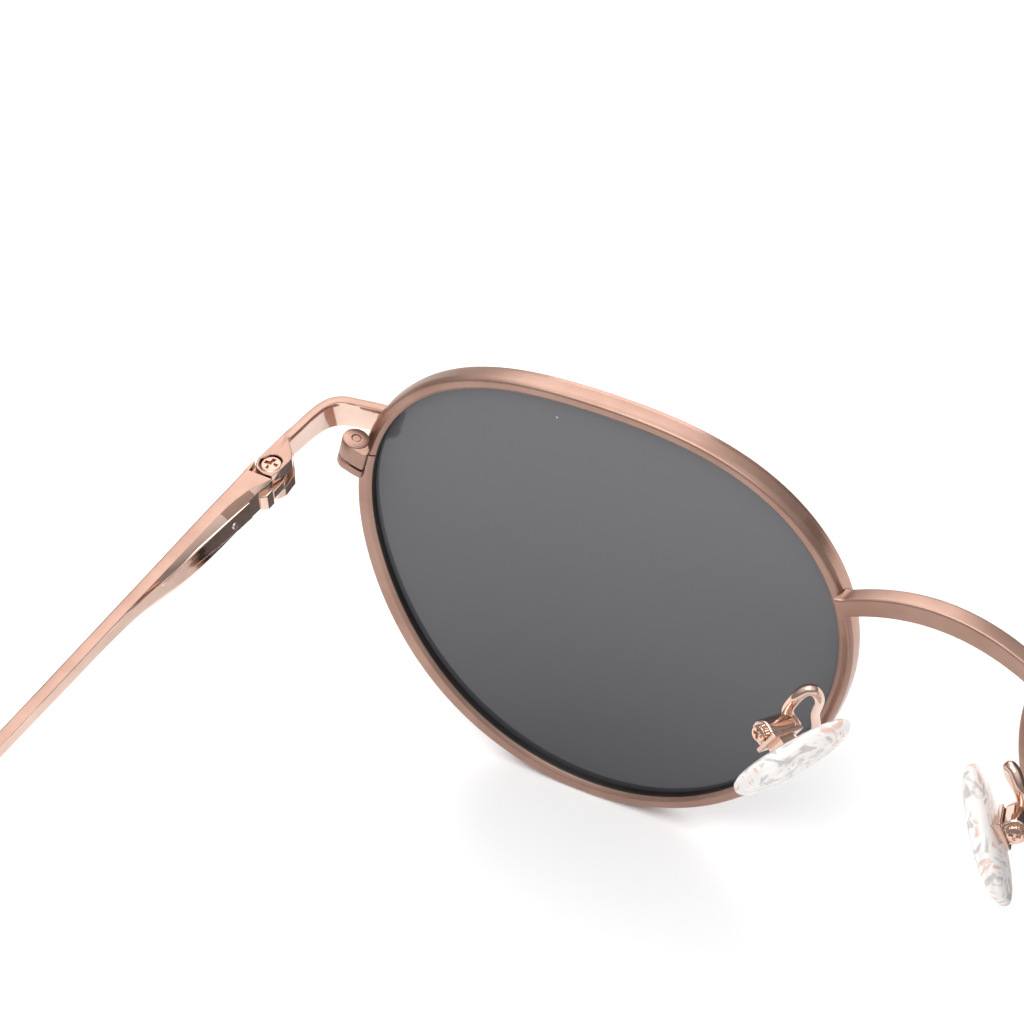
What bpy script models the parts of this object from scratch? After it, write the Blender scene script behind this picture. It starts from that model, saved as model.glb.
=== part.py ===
"""Round soft-pilot metal sunglasses with spring hinges and rocking nose pads.

Frame: +Z up, the wearer faces -Y, the wearer's left is +X.  The glasses stand open
on the bottoms of the two rims and of the two temple tips, which touch Z = 0.
Every length is in metres.
"""
import math

import bmesh
import bpy
import numpy as np
from mathutils import Matrix, Vector

MM = 0.001

# ---- driving dimensions -------------------------------------------------------------
LENS_WIDTH = 49.3 * MM          # boxed lens width
LENS_HEIGHT = 47.1 * MM         # boxed lens height
LENS_GAP = 19.6 * MM            # distance between the two lenses at the nose
LENS_THICKNESS = 1.1 * MM
LENS_BEVEL = 0.34 * MM          # V edge that sits in the rim's groove
LENS_DEPTH = -0.95 * MM         # lens mid-plane ahead of the front's datum plane
RIM_RADIAL = 1.4 * MM           # rim wire across, seen from the front
RIM_REAR = 1.2 * MM             # rear ridge behind the datum plane
RIM_FRONT = 1.7 * MM            # front edge ahead of the datum plane
GROOVE_DEPTH = 0.5 * MM
GROOVE_HALF = 0.55 * MM
RIM_SPLIT_ANGLE = math.radians(19.0)
RIM_SPLIT_GAP = 0.16 * MM
PANTO = 0.1327                  # the front leans back at the bottom, radians
WRAP = 0.0294                   # each half sweeps back towards the temple, radians
FRONT_Y = -67.0166 * MM           # the front's datum line, along Y
GAP = 0.1 * MM                  # space between soldered or seated neighbours
RUN = 0.06 * MM                 # radial space of a pin in its hole
SOLDER = 0.2 * MM               # space filled by solder at the rim

BRIDGE_CREST = 13.4 * MM        # top of the bridge's rear edge above the lens centre
BRIDGE_SAG = 0.0245 / MM        # drop per square of the distance from the middle
BRIDGE_TALL = 2.0 * MM
BRIDGE_DEEP = 1.8 * MM
BRIDGE_REAR = 1.0 * MM

HINGE_OUT = 4.94 * MM           # hinge screw outboard of the lens's boxed edge
HINGE_X = LENS_GAP / 2 + LENS_WIDTH + HINGE_OUT
HINGE_BACK = 10.3 * MM          # hinge screw behind the front's datum line
HINGE_RISE = 13.55 * MM         # hinge's top above the lens centre
HINGE_TALL = 3.4 * MM
BOSS_RADIUS = 1.45 * MM
BOSS_CORNER = 1.58 * MM
BOSS_HEEL = 1.02 * MM           # outboard corner of the block where it meets the strip
EYE_RADIUS = 1.35 * MM
EYE_TALL = 0.9 * MM
EYE_DROP = 1.3 * MM             # top of the slider's eye below the hinge's top
SCREW_RADIUS = 0.5 * MM
SCREW_HEAD = 1.0 * MM
SCREW_HEAD_TALL = 0.45 * MM
COUNTERBORE = 0.6 * MM

STRIP_THICK = 1.05 * MM
STRIP_INSET = 0.05 * MM

SPLAY = 0.068                   # temples lean outwards, per unit length
BOW = 0.0006 / MM               # and bow back in behind BOW_START
BOW_START = 20.0 * MM
RISE = 0.016                    # temples rise, per unit length
TEMPLE_FACE = 1.75 * MM         # temple's front face behind the hinge axis
TEMPLE_OUT = 1.6 * MM           # temple's outer face outboard of the hinge axis
WALL = 0.5 * MM                 # temple's wall outside the spring housing
WIRE_THICK = 1.3 * MM
WIRE_TALL = 1.35 * MM
BEND_START = 84.0 * MM
BEND_RADIUS = 20.0 * MM
BEND_ANGLE = math.radians(50.0)
TIP_START = 76.0 * MM
TIP_RUN_UP = 1.5 * MM           # wire end short of the sleeve's end
TIP_TALL = 5.6 * MM
TIP_THICK = 2.9 * MM
TIP_MOUTH = 2.9 * MM
TIP_SPACE = 0.12 * MM          # half the space of the wire in its sleeve

HOUSING_START = 4.7 * MM
HOUSING_END = 17.2 * MM
HOUSING_IN = -0.4 * MM          # housing's inner face from the hinge axis, outboard
BORE_AXIS_OUT = 0.33 * MM
BORE_DROP = 1.6 * MM            # bore's axis below the hinge's top
BORE_RADIUS = 0.52 * MM
BORE_END = 12.1 * MM
SHANK_RADIUS = 0.27 * MM
SHANK_END = 11.0 * MM
SHANK_HEAD = 0.42 * MM
SHANK_HEAD_LONG = 0.6 * MM
STOP_AT = 7.0 * MM
STOP_LONG = 0.8 * MM
PIN_RADIUS = 0.38 * MM
SPRING_WIRE = 0.07 * MM
SPRING_RADIUS = 0.37 * MM
SPRING_TURNS = 6
SLIDER_END = 3.2 * MM

BARREL_RADIUS = 1.2 * MM
BARREL_OUT = 2.3 * MM           # barrel's axis outside the lens outline
BARREL_BACK = 2.35 * MM         # and behind the datum plane
BARREL_TOP = 11.3 * MM
BARREL_SPLIT = 8.95 * MM
BARREL_BOTTOM = 8.05 * MM
BLOCK_SCREW = 0.42 * MM
BLOCK_HEAD = 0.85 * MM

PAD_SCREW_AT = (12.59 * MM, 10.38 * MM, 2.0 * MM)    # X, behind the datum, above the lens centre
PAD_AXIS = Vector((-0.299, -0.854, -0.426)).normalized()     # pad screw, from head to tip
PAD_FACE_WAY = Vector((-0.808, 0.464, -0.363))               # out of the pad, to the nose
PAD_LONG_WAY = Vector((-0.579, -0.742, 0.339))               # along the pad, upwards
PAD_HALF_LONG = 6.8 * MM
PAD_HALF_WIDE = 3.3 * MM
PAD_THICK = 2.1 * MM
PAD_ASIDE = 1.0 * MM            # pad's centre beyond the box's, along the screw
PAD_BELOW = 0.3 * MM            # and below it
BOX_LONG = 2.9 * MM
BOX_WIDE = 3.4 * MM
BOX_DEEP = 1.1 * MM             # each way from the screw axis
BOX_WALL = 0.5 * MM
BOX_SEAT = 0.2 * MM             # box's end behind the seat of the screw's head
LUG_ROUND = 0.72 * MM
LUG_SIDE_GAP = 0.15 * MM
PAD_BACK = 1.85 * MM            # pad's back face from the screw axis
FOOT_THICK = 0.4 * MM
PAD_SCREW_RADIUS = 0.36 * MM
PAD_SCREW_HEAD = 0.85 * MM
PAD_SCREW_HEAD_TALL = 0.5 * MM
ARM_RADIUS = 0.48 * MM
ARM_CLEAR = 0.12 * MM           # arm's end beside the box
# Points of the wire: X, behind the datum, above the lens centre
ARM_LOOP = [(11.06 * MM, 3.25 * MM, -7.07 * MM), (10.53 * MM, 3.35 * MM, -3.84 * MM),
            (10.1 * MM, 3.85 * MM, -0.72 * MM), (9.64 * MM, 4.55 * MM, 2.31 * MM),
            (9.86 * MM, 5.3 * MM, 4.21 * MM), (10.7 * MM, 6.2 * MM, 4.2 * MM)]

RIM_STEPS = 72
TIP_SIDES = 12
LENS_STEPS = 72

SIDES = (("left", 1), ("right", -1))


# ---- scene and materials ------------------------------------------------------------
for old in list(bpy.data.objects):
    bpy.data.objects.remove(old, do_unlink=True)


def material(name, colour, roughness, metallic, transmission=0.0):
    mat = bpy.data.materials.new(name)
    mat.use_nodes = True
    shader = mat.node_tree.nodes["Principled BSDF"]
    shader.inputs["Base Color"].default_value = (*colour, 1.0)
    shader.inputs["Roughness"].default_value = roughness
    shader.inputs["Metallic"].default_value = metallic
    shader.inputs["Transmission Weight"].default_value = transmission
    mat.diffuse_color = (*colour, 1.0)
    return mat


SATIN = material("satin_rose_metal", (0.60, 0.36, 0.28), 0.42, 1.0)
POLISHED = material("polished_rose_metal", (0.78, 0.50, 0.40), 0.12, 1.0)
STEEL = material("steel", (0.55, 0.50, 0.48), 0.25, 1.0)
GREY_LENS = material("grey_lens", (0.06, 0.06, 0.07), 0.05, 0.0)
CLEAR_PAD = material("clear_silicone", (0.92, 0.92, 0.92), 0.12, 0.0, 0.9)
TIP = material("blush_acetate", (0.62, 0.36, 0.29), 0.22, 0.0)


# ---- mesh helpers ---------------------------------------------------------------------
def add_object(name, verts, faces, mat):
    mesh = bpy.data.meshes.new(name)
    mesh.from_pydata([tuple(v) for v in verts], [], faces)
    work = bmesh.new()
    work.from_mesh(mesh)
    bmesh.ops.recalc_face_normals(work, faces=work.faces)
    work.to_mesh(mesh)
    work.free()
    mesh.materials.append(mat)
    mesh.shade_smooth()
    mesh.set_sharp_from_angle(angle=math.radians(35))
    obj = bpy.data.objects.new(name, mesh)
    bpy.context.collection.objects.link(obj)
    return obj


def loft(name, rings, mat, closed=False):
    """Skin a row of rings, each an (m, 3) array; the ends are capped unless closed."""
    rings = np.asarray(rings, float)
    count, sides, _ = rings.shape
    faces = []
    for i in range(count if closed else count - 1):
        j = (i + 1) % count
        for k in range(sides):
            l = (k + 1) % sides
            faces.append((i * sides + k, i * sides + l, j * sides + l, j * sides + k))
    if not closed:
        faces.append(tuple(range(sides)))
        faces.append(tuple((count - 1) * sides + k for k in range(sides)))
    return add_object(name, rings.reshape(-1, 3), faces, mat)


def smooth_path(points, count):
    """Catmull-Rom curve through the points, sampled evenly along its length."""
    p = np.asarray(points, float)
    p = np.vstack([2 * p[0] - p[1], p, 2 * p[-1] - p[-2]])
    fine = []
    for i in range(1, len(p) - 2):
        t = np.linspace(0, 1, 20, endpoint=False)[:, None]
        a, b, c, d = p[i - 1], p[i], p[i + 1], p[i + 2]
        fine.append(0.5 * (2 * b + (c - a) * t + (2 * a - 5 * b + 4 * c - d) * t ** 2
                           + (3 * b - a - 3 * c + d) * t ** 3))
    fine = np.vstack(fine + [p[-2:-1]])
    steps = np.r_[0, np.cumsum(np.linalg.norm(np.diff(fine, axis=0), axis=1))]
    at = np.linspace(0, steps[-1], count)
    return np.stack([np.interp(at, steps, fine[:, k]) for k in range(3)], axis=1)


def tube_rings(path, radius, sides):
    """Round rings along a path, turned as little as possible from one to the next."""
    path = np.asarray(path, float)
    tangent = np.gradient(path, axis=0)
    tangent /= np.linalg.norm(tangent, axis=1)[:, None]
    normal = np.cross(tangent[0], (0.31, 0.22, 0.92))
    angle = np.linspace(0, 2 * np.pi, sides, endpoint=False)
    radii = np.broadcast_to(radius, len(path))
    rings = []
    for point, way, r in zip(path, tangent, radii):
        normal = normal - way * normal.dot(way)
        normal /= np.linalg.norm(normal)
        other = np.cross(way, normal)
        rings.append(point + r * (np.cos(angle)[:, None] * normal + np.sin(angle)[:, None] * other))
    return np.array(rings)


def cylinder_rings(base, way, parts, sides):
    """Rings of a turned piece: parts is a list of (distance along way, radius)."""
    way = Vector(way).normalized()
    across = way.orthogonal().normalized()
    other = way.cross(across)
    angle = np.linspace(0, 2 * np.pi, sides, endpoint=False)
    circle = np.outer(np.cos(angle), across) + np.outer(np.sin(angle), other)
    return np.array([np.array(base) + d * np.array(way) + r * circle for d, r in parts])


def turned(name, base, way, parts, mat, sides=16):
    return loft(name, cylinder_rings(base, way, parts, sides), mat)


def prism(name, outline, low, high, place, mat):
    """Extrude a plan outline of (a, b) points from low to high; place maps (a, b, c)."""
    rings = [[place(a, b, c) for a, b in outline] for c in (low, high)]
    return loft(name, rings, mat)


def cut(target, cutter, operation="DIFFERENCE"):
    """Boolean the target by the cutter and keep the result as the target's mesh."""
    cutter.hide_render = True
    cutter.display_type = "WIRE"
    mod = target.modifiers.new("cut", "BOOLEAN")
    mod.operation = operation
    mod.solver = "EXACT"
    mod.object = cutter
    bpy.context.view_layer.update()
    depsgraph = bpy.context.evaluated_depsgraph_get()
    result = bpy.data.meshes.new_from_object(target.evaluated_get(depsgraph))
    target.modifiers.clear()
    result.name = target.name
    target.data = result
    bpy.data.objects.remove(cutter, do_unlink=True)
    result.shade_smooth()
    result.set_sharp_from_angle(angle=math.radians(35))
    return target


def hang_on(obj, empty):
    """Parent an object to its joint's empty without moving it."""
    obj.parent = empty
    obj.matrix_parent_inverse = empty.matrix_world.inverted()


def joint_empty(name, place):
    empty = bpy.data.objects.new(name, None)
    empty.empty_display_size = 5 * MM
    empty.location = place
    bpy.context.collection.objects.link(empty)
    bpy.context.view_layer.update()
    return empty


# ---- the lens outline -----------------------------------------------------------------
def outline(steps, start=0.0, stop=2 * math.pi, closed=True):
    """Lens edge about its own centre: an oval, flatter at the brow, fuller at the corners.

    Returns the edge points (x outboard, v up) and their outward normals.
    """
    def edge(a):
        swell = (1 + 0.0146 * np.cos(2 * a) - 0.0125 * np.sin(2 * a) - 0.0068 * np.cos(3 * a)
                 + 0.0466 * np.sin(3 * a) - 0.0115 * np.cos(4 * a))
        across = 0.4934 * LENS_WIDTH
        down = 0.5132 * LENS_HEIGHT
        return np.stack([across * np.cos(a) * swell, down * np.sin(a) * swell], axis=1)
    a = np.linspace(start, stop, steps, endpoint=not closed)
    small = 1e-4
    tangent = edge(a + small) - edge(a - small)
    tangent /= np.linalg.norm(tangent, axis=1)[:, None]
    normal = np.stack([tangent[:, 1], -tangent[:, 0]], axis=1)
    return edge(a), normal


LENS_CENTRE_X = LENS_GAP / 2 - outline(360)[0][:, 0].min()


def front_point(side, x, y, v):
    """Point of the front: x outboard of the middle, y behind the datum, v above the lens centre."""
    back = y + math.sin(WRAP) * abs(x)
    return (side * x,
            FRONT_Y + back * math.cos(PANTO) - v * math.sin(PANTO),
            LENS_CENTRE_Z + v * math.cos(PANTO) + back * math.sin(PANTO))


def rim_section():
    """Rim wire section as (outward from the lens edge, behind the datum)."""
    inner_rear = 0.45 * RIM_REAR
    return [(0.0, inner_rear), (0.5 * RIM_RADIAL, RIM_REAR), (RIM_RADIAL, 0.8 * RIM_REAR),
            (1.03 * RIM_RADIAL, 0.0), (0.6 * RIM_RADIAL, -RIM_FRONT), (0.0, -0.97 * RIM_FRONT),
            (0.0, LENS_DEPTH - GROOVE_HALF), (GROOVE_DEPTH, LENS_DEPTH),
            (0.0, LENS_DEPTH + GROOVE_HALF)]


def rim_outside(y):
    """How far the rim's outer surface stands off the lens edge at a depth y."""
    outer = sorted(rim_section()[2:5], key=lambda p: p[1])
    return float(np.interp(y, [p[1] for p in outer], [p[0] for p in outer]))


def lens_centre_height():
    """Height of the lens centre that stands the rim's lowest edge on Z = 0."""
    edge, normal = outline(360)
    low = 0.0
    for u, y in rim_section():
        v = edge[:, 1] + u * normal[:, 1]
        back = y + math.sin(WRAP) * (LENS_CENTRE_X + edge[:, 0] + u * normal[:, 0])
        low = min(low, float((v * math.cos(PANTO) + back * math.sin(PANTO)).min()))
    return -low


LENS_CENTRE_Z = lens_centre_height()
HINGE_TOP = LENS_CENTRE_Z + HINGE_RISE


def rim_reach(v, y, nasal, space):
    """Distance from the middle of the glasses to the rim's outside at height v and depth y."""
    edge, normal = outline(360)
    shell = edge + (rim_outside(y) + space) * normal
    half = shell[:, 0] < 0 if nasal else shell[:, 0] > 0
    order = np.argsort(shell[half, 1])
    return LENS_CENTRE_X + float(np.interp(v, shell[half, 1][order], shell[half, 0][order]))


def make_rim(word, side):
    """Rim wire round the lens edge, split open at the closing block."""
    opening = RIM_SPLIT_GAP / LENS_WIDTH
    edge, normal = outline(RIM_STEPS + 1, RIM_SPLIT_ANGLE + opening,
                           RIM_SPLIT_ANGLE + 2 * math.pi - opening, closed=False)
    rings = []
    for point, out in zip(edge, normal):
        ring = []
        for u, y in rim_section():
            ring.append(front_point(side, LENS_CENTRE_X + point[0] + u * out[0], y,
                                    point[1] + u * out[1]))
        rings.append(ring)
    loft("rim_" + word, rings, SATIN)


def make_lens(word, side):
    """Flat lens with a V edge in the groove."""
    edge, normal = outline(LENS_STEPS)
    half = LENS_THICKNESS / 2
    rings = []
    for u, y in ((-GAP, LENS_DEPTH + half), (LENS_BEVEL, LENS_DEPTH), (-GAP, LENS_DEPTH - half)):
        rings.append([front_point(side, LENS_CENTRE_X + p[0] + u * n[0], y, p[1] + u * n[1])
                      for p, n in zip(edge, normal)])
    loft("lens_" + word, rings, GREY_LENS)


def make_bridge():
    """Arched bar whose ends are shaped to the rims."""
    corner = 0.35 * MM
    tall = BRIDGE_TALL
    deep = BRIDGE_DEEP
    section = [(0, -corner), (-corner, 0), (-deep + corner, 0), (-deep, -corner),
               (-deep, -tall + corner), (-deep + corner, -tall), (-corner, -tall), (0, -tall + corner)]
    slices = 25
    rings = []
    for share in np.linspace(-1, 1, slices):
        ring = []
        for y, drop in section:
            side = -1 if share < 0 else 1
            x = 0.0
            for _ in range(6):
                v = BRIDGE_CREST - BRIDGE_SAG * x * x + drop
                depth = BRIDGE_REAR + y + 0.44 * MM * (x / (8 * MM)) ** 2 - math.sin(WRAP) * x
                x = abs(share) * rim_reach(v, depth, True, SOLDER)
            ring.append(front_point(side, x, depth, v))
        rings.append(ring)
    loft("bridge", rings, SATIN)


# ---- closing block --------------------------------------------------------------------
def barrel_place(side, v):
    """Axis of the closing barrel at height v: it runs along the rim beside its split."""
    edge, normal = outline(720)
    right = edge[:, 0] > 0
    order = np.argsort(edge[right, 1])
    middle = (BARREL_TOP + BARREL_BOTTOM) / 2
    row = [np.interp(middle, edge[right, 1][order], column[right][order])
           for column in (edge[:, 0], normal[:, 0], normal[:, 1])]
    along = (v - middle) / row[1]
    x = LENS_CENTRE_X + row[0] + BARREL_OUT * row[1] - along * row[2]
    return Vector(front_point(side, x, BARREL_BACK, middle + BARREL_OUT * row[2] + along * row[1]))


def make_closing_block(word, side):
    top = barrel_place(side, BARREL_TOP)
    bottom = barrel_place(side, BARREL_BOTTOM)
    way = (top - bottom).normalized()
    chamfer = 0.18 * MM
    long = (top - bottom).length
    split = long * (BARREL_SPLIT - BARREL_BOTTOM) / (BARREL_TOP - BARREL_BOTTOM)
    head = 0.45 * MM
    pieces = (("closing_block_upper_", split + GAP, long, BLOCK_SCREW + RUN),
              ("closing_block_lower_", 0.0, split, BLOCK_SCREW + RUN))
    for name, low, high, hole in pieces:
        block = turned(name + word, bottom, way,
                       [(low, BARREL_RADIUS - chamfer), (low + chamfer, BARREL_RADIUS),
                        (high - chamfer, BARREL_RADIUS), (high, BARREL_RADIUS - chamfer)], SATIN, 20)
        cut(block, turned("bore", bottom, way, [(low - MM, hole), (high + MM, hole)], SATIN, 12))
    turned("closing_screw_" + word, bottom, way,
           [(-GAP - head, 0.8 * BLOCK_HEAD), (-GAP - 0.6 * head, BLOCK_HEAD), (-GAP, BLOCK_HEAD),
            (-GAP + 0.001 * MM, BLOCK_SCREW), (long - 0.3 * MM, BLOCK_SCREW)], STEEL, 12)


# ---- end piece and front hinge ------------------------------------------------------------
def hinge_point(side, out, back, z):
    """Point of the hinge: outboard of and behind the hinge axis, at a height z."""
    return (side * (HINGE_X + out), FRONT_Y + HINGE_BACK + back, z)


def make_end_piece(word, side):
    """Flat strip from the rim's outside, round the corner, to the hinge block."""
    outer = smooth_path([(-4.3 * MM, -11.25 * MM, 0), (-3.2 * MM, -11.0 * MM, 0),
                         (-1.7 * MM, -10.75 * MM, 0), (-0.55 * MM, -10.05 * MM, 0),
                         (0.15 * MM, -8.9 * MM, 0), (0.55 * MM, -7.3 * MM, 0),
                         (0.8 * MM, -5.5 * MM, 0), (1.05 * MM, -3.75 * MM, 0)], 20)
    way = np.gradient(outer, axis=0)
    way /= np.linalg.norm(way, axis=1)[:, None]
    inward = np.stack([-way[:, 1], way[:, 0]], axis=1)
    top = HINGE_TOP - STRIP_INSET
    low = HINGE_TOP - HINGE_TALL + STRIP_INSET
    edge = 0.2 * MM
    section = [(0, low + edge), (0, top - edge), (edge, top), (STRIP_THICK - edge, top),
               (STRIP_THICK, top - edge), (STRIP_THICK, low + edge), (STRIP_THICK - edge, low),
               (edge, low)]
    rings = []
    for number, (point, turn) in enumerate(zip(outer, inward)):
        ring = []
        for depth, z in section:
            x = point[0] + depth * turn[0]
            y = point[1] + depth * turn[1]
            if number == 0:
                v = (z - LENS_CENTRE_Z) / math.cos(PANTO)
                datum = (y + HINGE_BACK + v * math.sin(PANTO)) / math.cos(PANTO)
                datum -= math.sin(WRAP) * (HINGE_X + x)
                x = rim_reach(v, datum, False, SOLDER) - HINGE_X
            ring.append(hinge_point(side, x, y, z))
        rings.append(ring)
    loft("end_piece_" + word, rings, POLISHED)


def hinge_outline():
    """Plan of the front hinge block: a round eye with a heel that meets the strip."""
    points = [(BOSS_HEEL, -3.6 * MM)]
    for angle in np.linspace(0, math.radians(105), 9):
        points.append((BOSS_RADIUS * math.cos(angle), BOSS_RADIUS * math.sin(angle)))
    points.append((BOSS_CORNER * math.cos(math.radians(128)), BOSS_CORNER * math.sin(math.radians(128))))
    points.append((-0.97 * BOSS_RADIUS, 0.2 * MM))
    points.append((-0.97 * BOSS_RADIUS, -1.3 * MM))
    points.append((-0.2 * MM, -2.6 * MM))
    points.append((0.3 * MM, -3.6 * MM))
    return points


def make_front_hinge(word, side):
    low = HINGE_TOP - HINGE_TALL
    block = prism("front_hinge_" + word, hinge_outline(), low, HINGE_TOP,
                  lambda a, b, c: hinge_point(side, a, b, c), SATIN)
    slot_low = HINGE_TOP - EYE_DROP - EYE_TALL - GAP
    slot_high = HINGE_TOP - EYE_DROP + GAP
    reach = 3 * MM
    slot = prism("slot", [(-reach, -1.6 * MM), (reach, -1.6 * MM), (reach, reach), (-reach, reach)],
                 slot_low, slot_high, lambda a, b, c: hinge_point(side, a, b, c), SATIN)
    cut(block, slot)
    axis = hinge_point(side, 0, 0, low)
    hole = SCREW_RADIUS + RUN
    head = SCREW_HEAD + GAP
    bore = turned("bore", axis, (0, 0, 1),
                  [(-MM, hole), (HINGE_TALL - COUNTERBORE, hole),
                   (HINGE_TALL - COUNTERBORE + 0.001 * MM, head), (HINGE_TALL + MM, head)], SATIN, 20)
    cut(block, bore)


def make_hinge_screw(word, side):
    low = hinge_point(side, 0, 0, HINGE_TOP - HINGE_TALL)
    seat = HINGE_TALL - COUNTERBORE + 0.05 * MM
    dome = 0.15 * MM
    screw = turned("hinge_screw_" + word, low, (0, 0, 1),
                   [(0.15 * MM, 0.8 * SCREW_RADIUS), (0.3 * MM, SCREW_RADIUS), (seat, SCREW_RADIUS),
                    (seat + 0.001 * MM, SCREW_HEAD), (seat + SCREW_HEAD_TALL - dome, SCREW_HEAD),
                    (seat + SCREW_HEAD_TALL, 0.8 * SCREW_HEAD)], STEEL, 16)
    for turn in (0, 1):
        long, wide = 0.62 * SCREW_HEAD, 0.16 * SCREW_HEAD
        corners = [(-long, -wide), (long, -wide), (long, wide), (-long, wide)]
        if turn:
            corners = [(-b, a) for a, b in corners]
        top = HINGE_TOP - COUNTERBORE + SCREW_HEAD_TALL
        cross = prism("cross", corners, top - 0.2 * MM, top + MM,
                      lambda a, b, c: hinge_point(side, a, b, c), STEEL)
        cut(screw, cross)


# ---- temple side ------------------------------------------------------------------------
def temple_point(side, out, back, z):
    """Point of the temple: back runs along the temple, which splays, bows in and rises."""
    bow = max(0.0, back - BOW_START)
    return (side * (HINGE_X + out + SPLAY * back - BOW * bow * bow),
            FRONT_Y + HINGE_BACK + back, z + RISE * back)


def make_slider(word, side):
    """Eye on the hinge screw, block behind it, and the shank that runs into the housing."""
    eye_low = HINGE_TOP - EYE_DROP - EYE_TALL
    eye_high = HINGE_TOP - EYE_DROP
    place = lambda a, b, c: hinge_point(side, a, b, c)
    neck = 0.7 * MM
    arc = [(EYE_RADIUS * math.cos(a), EYE_RADIUS * math.sin(a))
           for a in np.linspace(math.pi - 0.52, 2 * math.pi + 0.52, 15)]
    plan = arc + [(neck, 2.1 * MM), (-neck, 2.1 * MM)]
    eye = prism("slider_" + word, plan, eye_low, eye_high, place, STEEL)
    bore = turned("bore", place(0, 0, eye_low), (0, 0, 1),
                  [(-MM, SCREW_RADIUS + RUN), (EYE_TALL + MM, SCREW_RADIUS + RUN)], STEEL, 20)
    cut(eye, bore)
    block_in, block_out = -0.75 * MM, 0.9 * MM
    block = prism("block", [(block_in, 1.8 * MM), (block_out, 1.8 * MM), (block_out, SLIDER_END),
                            (block_in, SLIDER_END)],
                  HINGE_TOP - 2.7 * MM, HINGE_TOP - 0.75 * MM,
                  lambda a, b, c: temple_point(side, a, b, c), STEEL)
    cut(eye, block, "UNION")
    base = Vector(temple_point(side, BORE_AXIS_OUT, SLIDER_END - 0.5 * MM, HINGE_TOP - BORE_DROP))
    rings = cylinder_rings(base, slide_way(side),
                           [(0, SHANK_RADIUS), (SHANK_END - SLIDER_END, SHANK_RADIUS),
                            (SHANK_END - SLIDER_END + 0.001 * MM, SHANK_HEAD),
                            (SHANK_END - SLIDER_END + SHANK_HEAD_LONG, SHANK_HEAD)], 10)
    cut(eye, loft("shank", rings, STEEL), "UNION")


def slide_way(side):
    return Vector((side * SPLAY, 1.0, RISE)).normalized()


def grown_outline(points, space):
    """Move each side of a convex clockwise outline outwards by the space."""
    p = np.array(points)
    side = np.roll(p, -1, axis=0) - p
    out = np.stack([-side[:, 1], side[:, 0]], axis=1) / np.linalg.norm(side, axis=1)[:, None]
    both = out + np.roll(out, 1, axis=0)
    return [tuple(q) for q in p + 2 * space * both / np.sum(both ** 2, axis=1)[:, None]]


def housing_outline(space):
    """Side view of the spring housing, a boat shape with a blunt front and a pointed rear."""
    top = HINGE_TOP
    long = HOUSING_END - HOUSING_START
    upper = [(0.0, 0.5 * MM), (0.30, 0.47 * MM), (0.58, 0.5 * MM), (0.80, 0.72 * MM), (0.93, 1.0 * MM)]
    lower = [(0.97, 1.28 * MM), (0.88, 1.72 * MM), (0.66, 2.3 * MM), (0.42, 2.62 * MM),
             (0.16, 2.86 * MM), (0.0, 2.86 * MM)]
    points = [(HOUSING_START + s * long, top - d) for s, d in upper]
    points.append((HOUSING_END, top - 1.1 * MM))
    points += [(HOUSING_START + s * long, top - d) for s, d in lower]
    return grown_outline(points, space)


def make_housing(word, side):
    """Spring housing let into the temple's inner face, bored from the front."""
    out = TEMPLE_OUT - WALL - GAP
    place = lambda s, z, t: temple_point(side, t, s, z)
    housing = prism("spring_housing_" + word, housing_outline(0.0), HOUSING_IN, out, place, POLISHED)
    base = temple_point(side, BORE_AXIS_OUT, HOUSING_START - MM, HINGE_TOP - BORE_DROP)
    bore = turned("bore", base, slide_way(side),
                  [(0, BORE_RADIUS), (BORE_END - HOUSING_START + MM, BORE_RADIUS)], STEEL, 14)
    cut(housing, bore)
    pin_at = STOP_AT + STOP_LONG / 2
    pin_z = HINGE_TOP - BORE_DROP
    pin_base = temple_point(side, HOUSING_IN - 0.02 * MM, pin_at, pin_z)
    deep = BORE_AXIS_OUT - HOUSING_IN
    hole = turned("hole", Vector(pin_base) - Vector((side * 0.5 * MM, 0, 0)), (side, 0, 0),
                  [(0, PIN_RADIUS + RUN), (0.5 * MM + deep, PIN_RADIUS + RUN)], STEEL, 12)
    cut(housing, hole)
    stop_base = temple_point(side, BORE_AXIS_OUT, STOP_AT, pin_z)
    stop = turned("spring_stop_" + word, stop_base, slide_way(side),
                  [(0, BORE_RADIUS - RUN), (STOP_LONG, BORE_RADIUS - RUN)], STEEL, 12)
    inner = SHANK_RADIUS + RUN
    cut(stop, turned("bore", Vector(stop_base) - MM * slide_way(side), slide_way(side),
                     [(0, inner), (STOP_LONG + 2 * MM, inner)], STEEL, 10))
    pin_long = deep - (BORE_RADIUS - RUN) - 0.03 * MM
    turned("stop_pin_" + word, pin_base, (side, 0, 0),
           [(0, PIN_RADIUS), (pin_long, PIN_RADIUS)], STEEL, 12)


def make_spring(word, side):
    """Compression spring round the shank, between the stop and the shank's head."""
    low = STOP_AT + STOP_LONG + 0.2 * MM
    high = SHANK_END - 0.65 * MM
    turn = np.linspace(0, 2 * np.pi * SPRING_TURNS, SPRING_TURNS * 9 + 1)
    back = np.linspace(low, high, len(turn))
    path = [temple_point(side, BORE_AXIS_OUT + SPRING_RADIUS * math.cos(a), b,
                         HINGE_TOP - BORE_DROP + SPRING_RADIUS * math.sin(a))
            for a, b in zip(turn, back)]
    loft("slider_spring_" + word, tube_rings(path, SPRING_WIRE, 5), STEEL)


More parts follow.
